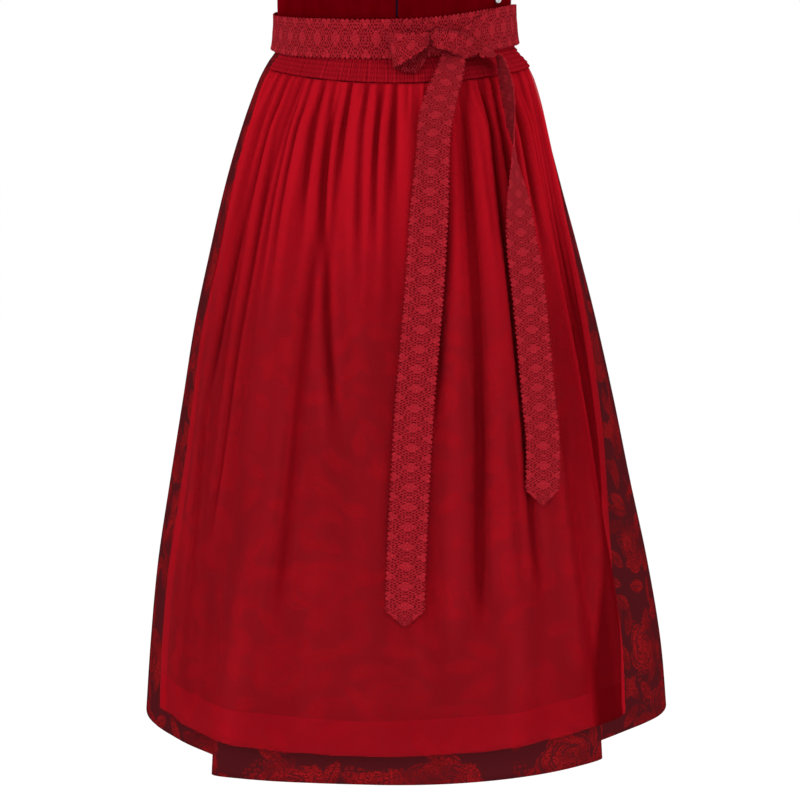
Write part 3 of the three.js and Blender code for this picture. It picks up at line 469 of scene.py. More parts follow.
skirt = {
    "thickness": 0.6, "pleatGap": 2.7, "inset": 1.0, "rows": 100, "perFold": 8, "grow": 1.12,
    "creaseShare": 0.8, "frontFlat": (1.16, 0.79), "frontArea": 0.655,
    "backFlat": (1.60, 0.78), "backArea": 0.72,
}

# Lift: how far the hem stands out. Layer: how deep in a pleat the cloth lies. Drop: the hem's.
skirtFront = {
    "angle": [-96, -88, -80, -72, -64, -56, -49, -42, -36, -34.4, -36, -40.4, -42, -40.4, -34,
              -27, -19, -11, -3, 5, 13, 21, 29, 37, 43.4, 45, 43.4, 38.6, 37, 38.6, 45, 53, 60,
              67, 74, 81, 88, 96],
    "lift": [0, 0, -1, -4, -6, -4, -2, 0, 1, 4, 8, 12, 16, 20, 22, 21, 17, 14, 12, 11, 10, 9, 8,
             6, 4, 0, -4, -14, -21, -28, -32, -33, -32, -28, -19, -8, -2, 0],
    "layer": [0, 0, 0, -0.1, -0.6, -1.4, -1.9, -2, -2, -1.5, -1, -1, -0.5, 0, 0, 0, 0, 0, 0, 0,
              0, 0, 0, 0, 0, -0.5, -1, -1, -1.5, -2, -2, -1.7, -1.1, -0.4, 0, 0, 0, 0],
    "drop": [0, 0, 0, 0, 0, 0, 0, 1, 2, 4, 6, 8, 10, 10, 6, 3, 1, 0, 0, 0, 0, 0, 0, 0, 0, 0, 0,
             0, 0, 0, 0, 0, 0, 0, 0, 0, 0, 0],
}
backStart = {"angle": [sideSeam + 0.02, 103, 109], "lift": [0, 0, 0], "layer": [0, -0.4, -1.4]}
backPleats = [(119, 13), (147, 15)]  # angle and lift of each, mirrored about the centre back
backMiddle = {"angle": 170, "lift": 8, "layer": 0}
centreBack = {"angle": 180, "lift": 6, "layer": 0}

# A back pleat's folds: degrees from its middle, share of its lift, layer.
pleatRows = [(-4, 0, -2), (4.4, 0, -2), (6, 0.25, -1.5), (4.4, 0.5, -1), (0, 0.75, -1),
             (-1.8, 1, -0.5), (0, 1.2, 0), (7, 1, 0), (14, 0.6, -0.6)]

# Creases: angle at the top, angle at the foot, level of start and end, height and width.
frontCreases = [
    (-84, -82, -60, -420, -3, 3), (-74, -77, -200, -764, 2.5, 3.5), (-60, -62, -120, -700, 3, 4),
    (-22, -25, -300, -764, 4, 4), (-8, -6, -420, -764, -4, 5), (12, 15, -380, -764, 4, 5),
    (27, 24, -450, -764, -3, 4), (62, 60, -220, -764, -3, 4), (75, 78, -90, -600, 3, 3.5),
    (86, 84, -300, -764, -2.5, 3),
]
backCreases = [
    (101, 103, -70, -500, 2.5, 3), (113, 111, -260, -764, -3, 3.5), (128, 131, -60, -380, 3, 3),
    (138, 136, -330, -764, -4, 4), (158, 161, -90, -640, 4, 4), (168, 165, -420, -764, -4, 4),
    (176, 181, -60, -420, 3.5, 4), (188, 186, -300, -764, -4, 5), (197, 201, -80, -520, 3, 3.5),
    (209, 206, -380, -764, 4, 4), (223, 226, -60, -300, -3, 3), (232, 229, -280, -764, 4, 4.5),
    (246, 249, -110, -700, -3, 3.5), (257, 255, -330, -764, 3, 3),
]


def skirtBack():
    folds = {column: list(values) for column, values in backStart.items()}
    for angle, lift in backPleats:
        for turn, rise, layer in pleatRows:
            folds["angle"].append(angle + turn)
            folds["lift"].append(lift * rise)
            folds["layer"].append(layer)
    half = {column: [*folds[column], backMiddle[column]] for column in folds}
    folds = {column: [*half[column], centreBack[column], *reversed(half[column])] for column in half}
    mirrored = len(half["angle"]) + 1
    folds["angle"][mirrored:] = [360 - angle for angle in reversed(half["angle"])]
    folds["drop"] = [0] * len(folds["angle"])
    return folds


def skirtPanel(name, folds, creases, flat):
    def shape(across, down):
        row = rowAt(folds, across)
        level = hemLevel * down ** skirt["grow"]
        out = row["lift"] * flare(level) + row["layer"] * skirt["pleatGap"] - skirt["inset"]
        out = out + creaseRise(creases, row["angle"], level) * skirt["creaseShare"]
        return formPoint(row["angle"], level - row["drop"] * flare(level) ** 3, out)
    columns = (len(folds["angle"]) - 1) * skirt["perFold"]
    piece = clothPanel(name, columns, skirt["rows"], shape, flat, skirt["thickness"], jacquard)
    return settle(piece, name)


skirtPanel("skirt_front", skirtFront, frontCreases, skirt["frontFlat"])
skirtPanel("skirt_back", skirtBack(), backCreases, skirt["backFlat"])
print("skirt ready")


apron = {
    "thickness": 0.3, "clear": 2.6, "columns": 380, "rows": 104, "flat": (0.66, 0.70), "grow": 1.15,
    "gathers": 22, "gatherRise": 4.2, "gatherLeast": 0.25, "gatherDrift": ((0.3, 23), (0.2, 57)),
    "gatherStart": -46, "gatherCrest": -95, "gatherEnd": -340,
    "hem": 38, "hemRows": 8, "hemBehind": 0.7, "hemLevel": -728, "hemWave": 1.2, "hemWaveFrom": 700,
    "pleats": 17, "seed": 11, "firstPleat": -67, "lastPleat": 79, "pleatShift": 0.35, "pleatLean": 3,
    "pleatFan": 5, "fanCentre": 0.46, "pleatStart": (-14, 2), "pleatEnds": (-120, -140, -170, -230),
    "pleatDepth": (1.3, 3.8), "pleatWidth": (0.7, 1.2),
    "puffs": 41, "puffRise": 2.0, "puffSpan": 148, "puffLevels": (36, 50, 95),
    "least": 0.7, "leastShare": 0.25, "soften": 0.6,
    # how the painted shading is measured across the folds, and how dark the painted shadow over the hollow is
    "valleySpan": 1.7, "valleyDepth": 3.1, "valleyRange": (-0.7, 1), "hollowLift": 15, "hollowShade": 0.4,
}
# a painted shadow band down the apron's right side: where across, how far down, how dark
apronPaintedShadowBand = {"from": (0.87, 0.905), "to": (0.962, 0.972), "levels": (150, 330), "shade": 1.3}
apronSpread = {
    "angle": [-75, -62, -53, -40, -33, -16, 0, 16, 33, 46, 53, 60, 72, 86],
    "lift": [3, 8, 13, 31, 36, 29, 23, 19, 16, 13, 2, -14, -15, 2],
    "hem": [-727, -727, -728, -728, -728, -728, -728, -727, -722, -719, -718, -718, -718, -718],
}
apronEdges = {
    "z": [-776, -668, -555, -455, -300, -150, -80, 0],
    "left": [-62, -64, -65, -64.5, -67, -68, -68.5, -69],
    "right": [53.5, 53.4, 61.5, 69, 75, 77, 78, 80],
}
apronFolds = [
    (-60, -52, -50, -760, 6, 5), (-46, -42, -50, -600, 6, 4.5), (-32, -35, -46, -760, 9, 6.5),
    (-17, -19, -330, -740, 4, 4), (-10, -7, -46, -760, 9, 7), (6, 3, -60, -720, 5, 5),
    (19, 9, -60, -640, 8, 3.5), (32, 20, -46, -760, 12, 5), (45, 34, -60, -740, 6, 5),
    (58, 47, -50, -740, 8, 6),
]
apronCreases = [
    (-66, -66.5, 0, -320, -5, 1.6), (-50, -55.5, 0, -430, -6, 1.8), (-41.5, -45, 0, -560, -6, 1.8),
    (-31, -27.5, 0, -190, -5, 1.3), (-27, -13.5, 0, -430, -7, 1.7), (-19.6, -16, 0, -170, -5, 1.3),
    (-12, -9.5, 0, -270, -6, 1.5), (-6.7, -5, 0, -250, -5, 1.4), (-0.6, 0, 0, -180, -5, 1.4),
    (22.4, 7, 0, -430, -6, 1.8), (28.5, 15, 0, -620, -8, 2), (37, 29, 0, -600, -7, 1.8),
    (44, 40, 0, -220, -5, 1.5), (54, 50, 0, -240, -6, 1.6), (62.5, 56, 0, -560, -6, 1.8),
    (69, 64, -80, -420, -4, 1.5), (-23, -26, -180, -640, -5, 2.2), (-56, -49, -380, -660, -4, 2),
    (0, -2, -380, -560, -3, 2.5), (27, 24, -360, -600, -4, 2), (43, 39, -360, -700, -4, 2),
    (-34, -37, -420, -728, -3, 3), (5, 7, -360, -700, -3, 2.6), (62, 50.5, -300, -900, -5, 1.8),
]
shirring = {
    "top": -2, "middle": -45.2, "sides": -37, "out": 1.5, "left": -69, "right": 80, "plain": 0.42,
    "threads": 5, "ribs": 150, "rise": 1.0, "pinch": 0.9, "columns": 750, "rows": 32,
    "thickness": 0.5, "flat": (0.36, 0.046),
}


def apronOut(angle, z):  # how far the apron's cloth stands out of the form
    left = valueAt(apronEdges, "z", z, "left")
    right = valueAt(apronEdges, "z", z, "right")
    across = (angle - left) / (right - left)
    out = valueAt(apronSpread, "angle", angle, "lift") * flare(z) + apron["clear"]
    out = out + creaseRise(apronFolds, angle, z)
    wave = apron["gathers"] * across
    for size, turns in apron["gatherDrift"]:
        wave = wave + size * np.sin(turns * across)
    height = softStep(-z, -apron["gatherStart"], -apron["gatherCrest"])
    height = apron["gatherLeast"] + (1 - apron["gatherLeast"]) * height
    height = height * (1 - softStep(-z, -apron["gatherCrest"], -apron["gatherEnd"]))
    return out + apron["gatherRise"] * height * (0.5 - 0.5 * np.cos(2 * math.pi * wave))


def makePleats():  # uneven pleats that start at the shirring and die out down the apron
    pick = np.random.default_rng(apron["seed"])
    shift, lean = apron["pleatShift"], apron["pleatLean"]
    pleats = []
    for i in range(apron["pleats"]):
        share = (i + 0.5 + pick.uniform(-shift, shift)) / apron["pleats"]
        top = apron["firstPleat"] + (apron["lastPleat"] - apron["firstPleat"]) * share
        foot = top + pick.uniform(-lean, lean) + apron["pleatFan"] * (apron["fanCentre"] - share)
        pleats.append((top, foot, pick.uniform(*apron["pleatStart"]), pick.choice(apron["pleatEnds"]),
                       -pick.uniform(*apron["pleatDepth"]), pick.uniform(*apron["pleatWidth"])))
    return pleats


apronPleats = makePleats()


def apronSurface(angle, z):  # the folds, creases and pleats together, never inside the skirt
    out = apronOut(angle, z) + creaseRise(apronCreases, angle, z) + creaseRise(apronPleats, angle, z)
    lift = valueAt(apronSpread, "angle", angle, "lift")
    inner = (lift - apron["leastShare"] * np.abs(lift)) * flare(z) + apron["least"]
    share = angle / apron["puffSpan"] + 0.006 * np.sin(angle)  # unevenly spaced
    puffs = np.abs(np.sin(math.pi * apron["puffs"] * share))
    start, crest, end = apron["puffLevels"]
    out = out + apron["puffRise"] * puffs * softStep(-z, start, crest) * (1 - softStep(-z, crest, end))
    clear = out - inner
    return inner + 0.5 * (clear + np.sqrt(clear * clear + apron["soften"]))


def apronPlace(across, down):
    start, end = apron["gatherStart"], apron["hemLevel"]
    level = start + (end - start) * down ** apron["grow"]
    left = valueAt(apronEdges, "z", level, "left")
    angle = left + (valueAt(apronEdges, "z", level, "right") - left) * across
    head = shirringLevel(angle, 1) - 0.3
    foot = valueAt(apronSpread, "angle", angle, "hem")
    return angle, head + (foot - head) * (level - start) / (end - start)


def apronPaintedShading(across, down):  # painted shading: painted shade above 0 in the folds' valleys, painted highlight below 0 on their ridges, and painted shadow over the hollow and in a band down the right side
    angle, z = apronPlace(across, down)
    beside = sum(apronSurface(angle + aside, z) for aside in (-apron["valleySpan"], apron["valleySpan"])) / 2
    paintedShading = np.clip((beside - apronSurface(angle, z)) / apron["valleyDepth"], *apron["valleyRange"])
    lift = valueAt(apronSpread, "angle", angle, "lift")
    # painted shadow where the apron sinks in (negative lift) towards the hem
    hollow = np.clip(-lift / apron["hollowLift"], 0, 1) * flare(z)
    # painted shadow band down the right side
    band = softStep(across, *apronPaintedShadowBand["from"]) * (1 - softStep(across, *apronPaintedShadowBand["to"]))
    band = band * softStep(-z, *apronPaintedShadowBand["levels"])
    return paintedShading + apron["hollowShade"] * hollow + apronPaintedShadowBand["shade"] * band


def shirringLevel(angle, down):
    foot = shirring["sides"] + (shirring["middle"] - shirring["sides"]) * np.cos(np.radians(angle)) ** 2
    return shirring["top"] + (foot - shirring["top"]) * down


def apronShape(across, down, behind=0.0):
    angle, z = apronPlace(across, down)
    out = apronSurface(angle, z) - behind
    hang = softStep(-z, apron["hemWaveFrom"], -apron["hemLevel"]) * apron["hemWave"]
    return formPoint(angle, z, out + hang * np.sin(across * 61 + 1.5 * np.sin(across * 17)))


def hemShare(down):  # the hem strip's place as a share of the whole panel
    drop = apron["gatherStart"] - apron["hemLevel"]
    return (1 - (apron["hem"] / drop) * (1 - down)) ** (1 / apron["grow"])


def apronHemShape(across, down):
    return apronShape(across, hemShare(down), behind=apron["hemBehind"])


def shirringPuff(across, down):  # fine ribs, pinched in by the elastic threads
    sewn = np.clip((down - shirring["plain"]) / (1 - shirring["plain"]), 0, 1)
    wander = 0.4 * np.sin(across * 91) + 0.3 * np.sin(across * 233 + down * 3)  # unevenly spaced
    ribs = np.abs(np.sin(math.pi * (shirring["ribs"] * across + wander)))
    rows = np.abs(np.sin(math.pi * shirring["threads"] * sewn))
    puff = shirring["rise"] * ribs * (0.35 + 0.65 * rows) + shirring["pinch"] * rows
    return sewn, puff, ribs, rows


def shirringShape(across, down):
    angle = shirring["left"] + (shirring["right"] - shirring["left"]) * across
    sewn, puff = shirringPuff(across, down)[:2]
    out = shirring["out"] + (apron["clear"] - shirring["out"]) * sewn
    return formPoint(angle, shirringLevel(angle, down), out + puff * (sewn > 0))


# painted shade in the rib valleys and along the pinched thread rows, painted highlight on the rib crests, an
# even painted shade on the plain strip above
def shirringPaintedShading(across, down):
    sewn, _, ribs, rows = shirringPuff(across, down)
    return np.where(sewn > 0, 1.3 * (1 - ribs) + 0.5 * (1 - rows) - 0.35, 0.3)


apronPanel = clothPanel("apron_panel", apron["columns"], apron["rows"], apronShape, apron["flat"],
                        apron["thickness"], organza, paintedShading=apronPaintedShading)
apronHem = clothPanel("apron_hem", apron["columns"], apron["hemRows"], apronHemShape,
                      (apron["flat"][0], apron["hem"] * mm), apron["thickness"], organza,
                      paintedShading=lambda across, down: apronPaintedShading(across, hemShare(down)))
settle(apronHem, None)
settle(apronPanel, "apron_panel")
apronHead = clothPanel("apron_shirring", shirring["columns"], shirring["rows"], shirringShape,
                       shirring["flat"], shirring["thickness"], shirredOrganza, paintedShading=shirringPaintedShading)
settle(apronHead, "apron_shirring")
print("apron ready")


bodice = {
    "thickness": 1.4, "rows": 60, "frontColumns": 150, "backColumns": 200, "foot": 0.3,
    "opening": 1.0, "openingLevel": 30, "seamGap": 0.08, "stitchLines": (8.2, 17.6), "stitchDepth": 0.7,
    "stitchWidth": 1.1, "seamDepth": 1.0, "seamWidth": 0.7, "dartAngle": 36, "dartSwing": 6,
    "dartWave": 60, "backSeam": 150, "backLean": 40, "rims": ((0.6, 3.5, 2.5), (-0.5, 7.5, 1)),
    "ripple": 0.8, "rippleFade": 45, "frontFlat": (0.25, 0.22), "backFlat": (0.42, 0.30), "cut": 0.71,
}
bodiceTop = {
    "angle": [0, 12, 24, 34, 43, 52, 66, 80, 96, 112, 126, 138, 144, 152, 160, 170, 180],
    "z": [176, 180, 193, 206, 207, 206, 184, 168, 163, 175, 215, 272, 290, 290, 290, 287, 286],
}
strap = {
    "width": 36, "tuck": 4, "inside": 3, "front": 43, "back": 152, "thickness": 1.4, "flat": (0.036, 0.41),
    "columns": 24, "rows": 90, "turnShare": 0.4, "crown": 1.5, "joinLevel": 200.0,
    "run": [(2, 6, 55), (102, -70, 354), (100, -32, 394), (98, -4, 404), (95, 28, 394), (14, -24, 71)],
}


def bodiceTopLevel(angle):
    turn = np.abs(angle)
    return valueAt(bodiceTop, "angle", np.where(turn > 180, 360 - turn, turn), "z")


def openingTurn(z):  # the angle at which the form's front crosses x 0
    sine = -formAt(z, "shift") / formAt(z, "half")
    return np.degrees(np.arcsin(sine))


def bodicePanel(name, start, end, columns, flat):
    def shape(across, down):
        angle = start + (end - start) * across
        rise = bodiceTopLevel(angle) - bodice["foot"]
        z = bodice["foot"] + rise * (1 - down)
        beside = np.abs(np.radians(angle)) * formAt(z, "half")
        out = 0 * z
        if end <= 0 or start >= 0:  # the stitch lines beside the zip
            for line in bodice["stitchLines"]:
                near = (beside - line) / bodice["stitchWidth"]
                out = out - bodice["stitchDepth"] * np.exp(-near * near)
        swing = bodice["dartSwing"] * np.sin(z / bodice["dartWave"])
        dart = (np.abs(angle) - bodice["dartAngle"] - swing) / bodice["seamWidth"]
        out = out - bodice["seamDepth"] * np.exp(-dart * dart) * (np.abs(angle) < sideSeam)
        back = np.minimum(np.abs(angle), 360 - np.abs(angle)) - bodice["backSeam"]
        back = (back + z / bodice["backLean"]) / bodice["seamWidth"]
        out = out - bodice["seamDepth"] * np.exp(-back * back)
        for height, place, width in bodice["rims"]:  # the rolled top edge and its stitch line
            out = out + height * np.exp(-((down * rise - place) / width) ** 2)
        ripple = bodice["ripple"] * np.sin(angle / 7 + z / 40) * np.exp(-z / bodice["rippleFade"])
        turn = openingTurn(z) * np.maximum(1 - np.abs(angle) / sideSeam, 0)
        return formPoint(angle + turn, z, out + ripple)
    piece = clothPanel(name, columns, bodice["rows"], shape, flat, bodice["thickness"], velvet)
    return settle(piece, name)


def strapPath():
    front, back = (formPoint(strap[end], bodiceTopLevel(strap[end]) - strap["tuck"], -strap["inside"])
                   for end in ("front", "back"))
    run = [front, *(np.array(place, float) for place in strap["run"]), back]
    run[1] = run[1] + front
    run[-2] = run[-2] + back
    return {"x": [p[0] for p in run], "y": [p[1] for p in run], "z": [p[2] for p in run]}


def strapPanel(name, side):
    path = strapPath()

    def shape(across, down):
        middle = np.stack([alongRows(path, down, axis) for axis in "xyz"], axis=-1)
        ways = []
        for angle in (strap["front"], strap["back"]):
            step = formPoint(angle + 1, strap["joinLevel"], 0) - formPoint(angle - 1, strap["joinLevel"], 0)
            ways.append(step * (1, 1, 0) / np.linalg.norm(step[:2]))
        level = np.array([1.0, 0, 0])
        early = np.clip(down / strap["turnShare"], 0, 1)[:, None]
        late = np.clip((down - 1) / strap["turnShare"] + 1, 0, 1)[:, None]
        way = ways[0] * (1 - early) + level * early
        way = way * (1 - late) - ways[1] * late
        way = way / np.linalg.norm(way, axis=1)[:, None]
        points = middle + way * ((across - 0.5) * strap["width"] * side)[:, None]
        points[:, 2] += strap["crown"] * np.cos(math.pi * (across - 0.5)) * np.sin(math.pi * down) ** 2
        points[:, 0] *= side
        return points
    piece = clothPanel(name, strap["columns"], strap["rows"], shape, strap["flat"],
                       strap["thickness"], velvet)
    return settle(piece, name)


openingHalf = float(formAt(bodice["openingLevel"], "half"))
openingAngle = math.degrees(bodice["opening"] / openingHalf)
seam = sideSeam - bodice["seamGap"]
backSeam = seam + 2 * bodice["seamGap"]
bodicePanel("bodice_front_left", -seam, -openingAngle, bodice["frontColumns"], bodice["frontFlat"])
bodicePanel("bodice_front_right", openingAngle, seam, bodice["frontColumns"], bodice["frontFlat"])
bodicePanel("bodice_back", backSeam, 360 - backSeam, bodice["backColumns"], bodice["backFlat"])
strapPanel("strap_left", -1)
strapPanel("strap_right", 1)
print("bodice ready")


ribbon = {
    "thickness": 1.0, "puff": 0.6, "scallop": 2.4, "scallopPitch": 5.1, "scallopFrom": 0.42,
    "scallopLevel": 0.4, "across": 26, "plainAcross": 8, "step": 1.0, "clear": 2.4, "point": 16, "tip": 5,
}
tail = {"samples": 8, "smoothing": 3, "asides": range(-22, 23, 7), "lower": (-12, 0, 12), "facing": 0.8,
        "cup": 1.6, "swing": 0.8, "settled": 60}
loop = {"length": 100, "area": 0.0027, "shade": 0.75, "turnsBack": (0.4, 0.6), "ripple": 1.2}
waistbandRun = {
    "length": 330, "angle": [-70, -40, 0, 20, 50, 81], "top": [17, 18, 19.5, 21.5, 27, 28],
    "foot": [-19.5, -19.2, -19.5, -17.5, -12, -11], "out": [3.8] * 6,
}
tieLeftRun = {
    "length": 490, "angle": [-214, -198, -180, -120, -90, -60, -30, 0, 14, 21],
    "top": [21, 20, 19, 18, 17, 17.5, 18.6, 19, 17, 9],
    "foot": [-18, -19, -20, -21, -18, -20.5, -20.4, -19.6, -17, -9],
    "out": [3.4, 3.8, 5.5, 5.5, 5.5, 5.5, 5.5, 5.5, 5.5, 5.9],
}
tieRightRun = {
    "length": 265, "angle": [31, 38, 47, 60, 90, 120, 140, 152, 164],
    "top": [8, 15, 23.5, 28.5, 27, 23, 21, 20.5, 20],
    "foot": [-7, -11, -14, -13, -12, -16, -18, -18.5, -19],
    "out": [7.5, 7.1, 6.5, 6.1, 5.7, 5.5, 5.7, 6.1, 6.2],
}
longTail = {
    "x": [60, 57, 51, 43.5, 38.5, 36.5, 35, 33, 28, 19, 14, 9.4, 8],
    "z": [-15, -29, -44, -63, -84, -110, -142, -180, -258, -361, -442, -537, -590],
    "turn": [26, 28, 32, 38, 44, 44, 34, 18, 3, 0, 0, 0, 0],
    "away": [5.8, 8, 10, 12, 13, 13, 11, 6, 1, 0, 0, 0, 0],
    "width": [0.6, 0.68, 0.78, 0.9, 1, 1, 1, 1, 1, 1, 1, 1, 1],
}
shortTail = {
    "x": [86, 94, 103, 110.5, 115.5, 119, 121.5, 123.5, 125.5, 128, 131, 138, 148, 153.5, 153.5],
    "z": [-12, -12, -17, -28, -43, -60, -80, -104, -136, -170, -210, -262, -364, -412, -478],
    "turn": [-48, -54, -62, -68, -72, -72, -66, -58, -42, -22, -8, 0, 0, 0, 0],
    "away": [15.7, 18, 19.5, 20.5, 21, 20, 19, 17, 14, 8, 3, 0, 0, 0, 0],
    "width": [0.5, 0.6, 0.74, 0.88, 1, 1, 1, 1, 1, 1, 1, 1, 1, 1, 1],
}
loopRun = {
    "x": [34, 25, 13, 2, -4.5, -6.5, -2.5, 6, 17, 26, 31.5],
    "y": [-114.5, -120.5, -125.5, -124.5, -121, -116.5, -112.5, -111, -110.5, -110.5, -111.6],
    "z": [1, -2.5, -6, -9, -10, -11, -12.5, -15, -16, -12.5, -8],
    "height": [12, 19, 26, 31, 33, 34, 35, 36, 34, 25, 14],
    "lean": [-1, -3, -2, 3, 6, 7, 8, 8, 6, 4, 2],
    "forward": [0, 2, 3, 2, 2, 4, 6, 9, 10, 8, 4],
}
knotRings = {
    "x": [33, 40, 52, 64, 73, 79, 81.5], "y": [-108, -106.4, -103.5, -99.5, -96, -94, -94],
    "z": [2, 1.5, -0.5, -4, -9.5, -15.5, -20.5], "radius": [4, 8, 9, 9.5, 9.2, 7.6, 4],
    "depth": [5, 8.8, 9.5, 9, 8.5, 7, 4],
}
knot = {"columns": 96, "rows": 70, "flat": (0.07, 0.06), "fold": 2.2, "sink": 1.8, "closing": 6}
knotWrap = {"from": -0.9, "to": 2.35, "start": 0.14, "end": 0.9, "clear": 1.5, "lift": 2.6,
            "length": 62, "columns": 40, "rows": 60, "creaseAt": 0.45, "creaseShade": 0.5}


def puffOut(side, along):  # the embossed diamonds stand proud, side from -0.5 to 0.5 across
    puff = 0
    for sideways, shift in ((0, 0.5), (0.5, 0)):
        x = np.abs(np.abs(side) - sideways) * ribbonWidth / diamond["halfWidth"]
        y = np.abs((along / diamond["pitch"] + shift) % 1 - 0.5) * diamond["pitch"] / diamond["halfHeight"]
        puff = puff + np.sqrt(np.clip(1 - x - y, 0, 1))
    return ribbon["puff"] * puff


def scallopWave(along):
    return np.abs(np.sin(math.pi * along / ribbon["scallopPitch"])) - ribbon["scallopLevel"]


def scallop(side, along):  # how far the fine curved edging widens the ribbon
    edge = np.clip((np.abs(side) - ribbon["scallopFrom"]) / (0.5 - ribbon["scallopFrom"]), 0, 1)
    return np.sign(side) * edge * ribbon["scallop"] * scallopWave(along)


def ribbonPiece(name, length, shape, across=ribbon["across"], paintedShading=None):
    steps = int(length / ribbon["step"])
    flat = (ribbonWidth * mm, length * mm)
    piece = clothPanel(name, across, steps, shape, flat, ribbon["thickness"],
                       ribbonCloth, paintedShading=paintedShading)
    return settle(piece, name)


def waistRibbon(name, run, plain=False):
    first, last = run["angle"][0], run["angle"][-1]
    length = run["length"]

    def shape(across, down):
        side = 0.5 - across
        along = down * length
        angle = first + (last - first) * down
        top, foot, out = (valueAt(run, "angle", angle, column) for column in ("top", "foot", "out"))
        wide = (top - foot) / ribbonWidth
        z = (top + foot) / 2 + wide * (side * ribbonWidth + scallop(side, along))
        soft = 0.5 * np.sin(along / 31) * np.cos(along / 13 + side * 4)  # uneven, as tied by hand
        out = out + soft + (0 if plain else puffOut(side, along))
        return formPoint(angle, z, out)
    across = ribbon["plainAcross"] if plain else ribbon["across"]
    return ribbonPiece(name, length, shape, across=across)


def apronAngle(x, z, out):
    half = formAt(z, "half") + out
    return np.degrees(np.arcsin(np.clip((x - formAt(z, "shift")) / half, -1, 1)))


def tailPath(run):  # a tail's middle line, laid over the apron's gathers
    smoothing = tail["smoothing"]
    share = np.linspace(0, 1, (len(run["x"]) - 1) * tail["samples"] + 1)
    row = rowAt(run, share)
    reach = 0 * share
    for aside in tail["asides"]:
        for lower in tail["lower"]:
            level = np.minimum(row["z"] + lower, ribbonFoot)
            reach = np.maximum(reach, apronOut(apronAngle(row["x"] + aside, level, reach), level))
    out = reach + ribbon["clear"] + row["away"]
    row["angle"] = apronAngle(row["x"], row["z"], out)
    y = formPoint(row["angle"], row["z"], out)[:, 1]
    row["y"] = np.array([y[max(i - smoothing, 0):i + smoothing + 1].mean() for i in range(len(y))])
    return row


def tailRibbon(name, run):
    row = tailPath(run)
    places = np.stack([row["x"], row["y"], row["z"]], axis=-1)
    steps = np.linalg.norm(np.diff(places, axis=0), axis=1)
    distance = np.concatenate([[0], np.cumsum(steps)])
    length = distance[-1]
    tangent = np.gradient(places, distance, axis=0)
    tangent /= np.linalg.norm(tangent, axis=1)[:, None]
    lean = np.radians(row["angle"]) * tail["facing"]
    facing = np.stack([np.sin(lean), -np.cos(lean), 0 * lean], axis=-1)
    turn = np.radians(row["turn"])[:, None]
    facing = (facing * np.cos(turn) + np.cross(tangent, facing) * np.sin(turn)
              + tangent * (tangent * facing).sum(axis=1)[:, None] * (1 - np.cos(turn)))
    sideways = np.cross(facing, tangent)
    sideways /= np.linalg.norm(sideways, axis=1)[:, None]
    outward = np.cross(tangent, sideways)

    def shape(across, down):
        side = across - 0.5
        along = down * length
        at = {axis: np.interp(along, distance, values) for axis, values in row.items()}
        middle = np.stack([at["x"], at["y"], at["z"]], axis=-1)
        way = np.stack([np.interp(along, distance, sideways[:, k]) for k in range(3)], axis=-1)
        out = np.stack([np.interp(along, distance, outward[:, k]) for k in range(3)], axis=-1)
        point = np.clip((length - along) / ribbon["point"], 0, 1)
        wide = ribbon["tip"] + (ribbonWidth * at["width"] - ribbon["tip"]) * point
        spread = side * wide + scallop(side, along) * point
        cup = tail["cup"] * np.sin(along / 74 + 0.6) * (side * 2) ** 2
        cup = cup + tail["swing"] * np.sin(along / 46) * side
        rise = cup * np.clip(along / tail["settled"], 0, 1) + puffOut(side, along)
        return middle + way * spread[:, None] - out * rise[:, None]
    return ribbonPiece(name, length, shape)


def bowLoop():
    length = loop["length"]

    def shape(across, down):
        side = across - 0.5
        row = rowAt(loopRun, down)
        along = down * length
        ripple = loop["ripple"] * np.sin(side * 7 + along / 9) * np.sin(math.pi * down)
        x = row["x"] + side * row["lean"]
        y = row["y"] - side * row["forward"] + ripple
        z = row["z"] - side * row["height"] - scallop(side, along)
        return np.stack([x, y, z], axis=-1)

    def paintedShading(across, down):  # painted shade on the ribbon's inside once it turns back
        return loop["shade"] * softStep(down, *loop["turnsBack"])
    return ribbonPiece("bow_loop", length, shape, paintedShading=paintedShading)


def knotPlace(turn, down, clear):  # a place on the knot: turn round it, down along it
    row = rowAt(knotRings, down)
    ahead, behind = (rowAt(knotRings, np.clip(down + step, 0, 1)) for step in (0.01, -0.01))
    slope = np.arctan2(ahead["z"] - behind["z"], ahead["x"] - behind["x"])
    up = (row["radius"] + clear) * np.cos(turn)
    y = row["y"] - (row["depth"] + clear) * np.sin(turn)
    return np.stack([row["x"] - up * np.sin(slope), y, row["z"] + up * np.cos(slope)], axis=-1)


def bowKnot():
    def shape(across, down):
        turn = -2 * math.pi * across
        folds = knot["fold"] * np.abs(np.sin(1.5 * turn + 1.1 * down + 0.5)) ** 0.6 - knot["sink"]
        folds = folds + 0.5 * np.cos(7 * turn - 6 * down + 1)
        closed = np.sqrt(np.clip(1 - (2 * down - 1) ** 8, 0, 1))
        return knotPlace(-turn, down, folds - knot["closing"] * (1 - closed))
    piece = clothPanel("bow_knot", knot["columns"], knot["rows"], shape, knot["flat"], 0, ribbonCloth)
    bpy.ops.object.mode_set(mode="EDIT")
    bpy.ops.mesh.select_all(action="SELECT")
    bpy.ops.mesh.remove_doubles(threshold=1e-5)
    bpy.ops.mesh.fill_holes(sides=0)
    bpy.ops.mesh.normals_make_consistent(inside=False)
    bpy.ops.object.mode_set(mode="OBJECT")
    return settle(piece, "bow_knot")


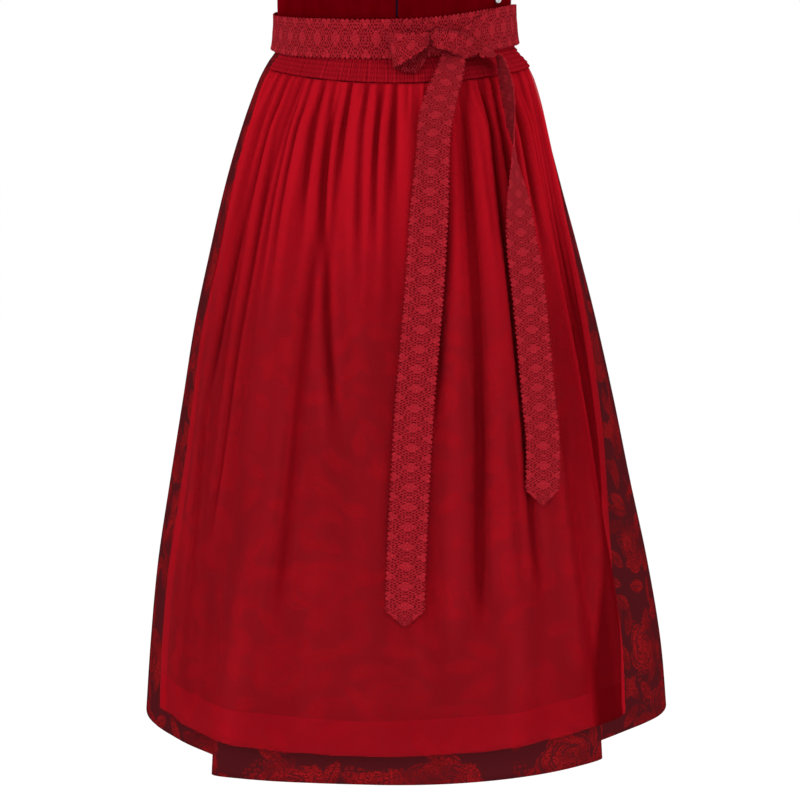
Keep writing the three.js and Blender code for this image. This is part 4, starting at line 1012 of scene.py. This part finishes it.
def bowWrap():  # the ribbon's last turn over the knot, its scalloped lower edge standing free
    length = knotWrap["length"]
    flat = (ribbonWidth * mm, length * mm)

    def shape(across, down):
        turn = knotWrap["from"] + (knotWrap["to"] - knotWrap["from"]) * across
        along = knotWrap["start"] + (knotWrap["end"] - knotWrap["start"]) * down
        free = softStep(across, 0.72, 1)
        edge = scallopWave(down * length)
        turn = turn + 0.13 * edge * softStep(across, 0.9, 1) + 0.22 * np.sin(3 * down) * across
        fold = 0.9 * np.cos(9 * across + 4 * down) + 0.5 * np.sin(21 * across - 6 * down)
        clear = knotWrap["clear"] + knotWrap["lift"] * free + fold * (1 - free)
        return knotPlace(turn, along, clear + puffOut(across - 0.5, down * length) * 0.5)

    # painted shade along a crease running down the wrap's length
    def paintedShading(across, down):
        return knotWrap["creaseShade"] * np.exp(-((across - knotWrap["creaseAt"]) / 0.06) ** 2)
    piece = clothPanel("bow_wrap", knotWrap["columns"], knotWrap["rows"], shape, flat, ribbon["thickness"],
                       ribbonCloth, paintedShading=paintedShading)
    return settle(piece, None)


waistRibbon("apron_waistband", waistbandRun, plain=True)
waistRibbon("tie_left", tieLeftRun)
waistRibbon("tie_right", tieRightRun)
tailRibbon("tail_long", longTail)
tailRibbon("tail_short", shortTail)
bowLoop()
bowKnot()
bowWrap()
print("ribbon ready")


hardLook = {"zip_chain": coil, "zip_slider": steel, "zip_pull_tab": steel, "metal_button": silver}
for node, material in hardLook.items():
    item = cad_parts[node]
    item.data.materials.clear()
    item.data.materials.append(material)
print("zip and button ready")


stage = {"floor": -2.2, "size": 30, "white": (1, 1, 1, 1), "roughness": 0.9, "worldLight": 1.0}
lights = {
    "keyLight": {"place": (-1.6, -3.2, 2.2), "aim": (0, 0, -0.2), "size": 1.6, "power": 45},
    "sideLight": {"place": (2.6, -2.0, 0.6), "aim": (0, 0, -0.3), "size": 1.2, "power": 14},
}


def addStage():
    bpy.ops.object.select_all(action="DESELECT")
    bpy.ops.mesh.primitive_plane_add(size=stage["size"], location=(0, 0, stage["floor"]))
    floor = bpy.context.object
    floor.name = "floor"
    material, tree, shader = newMaterial("paleFloor")
    setShader(shader, {"Base Color": stage["white"], "Roughness": stage["roughness"]})
    floor.data.materials.append(material)


def addLight(name, place, aim, size, power):
    bpy.ops.object.light_add(type="AREA", location=place)
    light = bpy.context.object
    light.name = name
    light.data.size = size
    light.data.energy = power
    direction = Vector(aim) - Vector(place)
    light.rotation_euler = direction.to_track_quat("-Z", "Y").to_euler()


addStage()
world = bpy.data.worlds.new("softWhite")
world.use_nodes = True
setShader(world.node_tree.nodes["Background"], {"Color": stage["white"], "Strength": stage["worldLight"]})
bpy.context.scene.world = world
for name, light in lights.items():
    addLight(name, **light)

view = {"place": (0.0033, -3.1, 0.255), "tilt": 77.9, "lens": 128, "sensor": 36}
bpy.ops.object.camera_add(location=view["place"], rotation=(math.radians(view["tilt"]), 0, 0))
camera = bpy.context.object
camera.name = "frontCamera"
camera.data.lens = view["lens"]
camera.data.sensor_width = view["sensor"]
camera.data.dof.use_dof = False
bpy.context.scene.camera = camera
bpy.context.scene.view_settings.view_transform = "Standard"
print("stage ready")
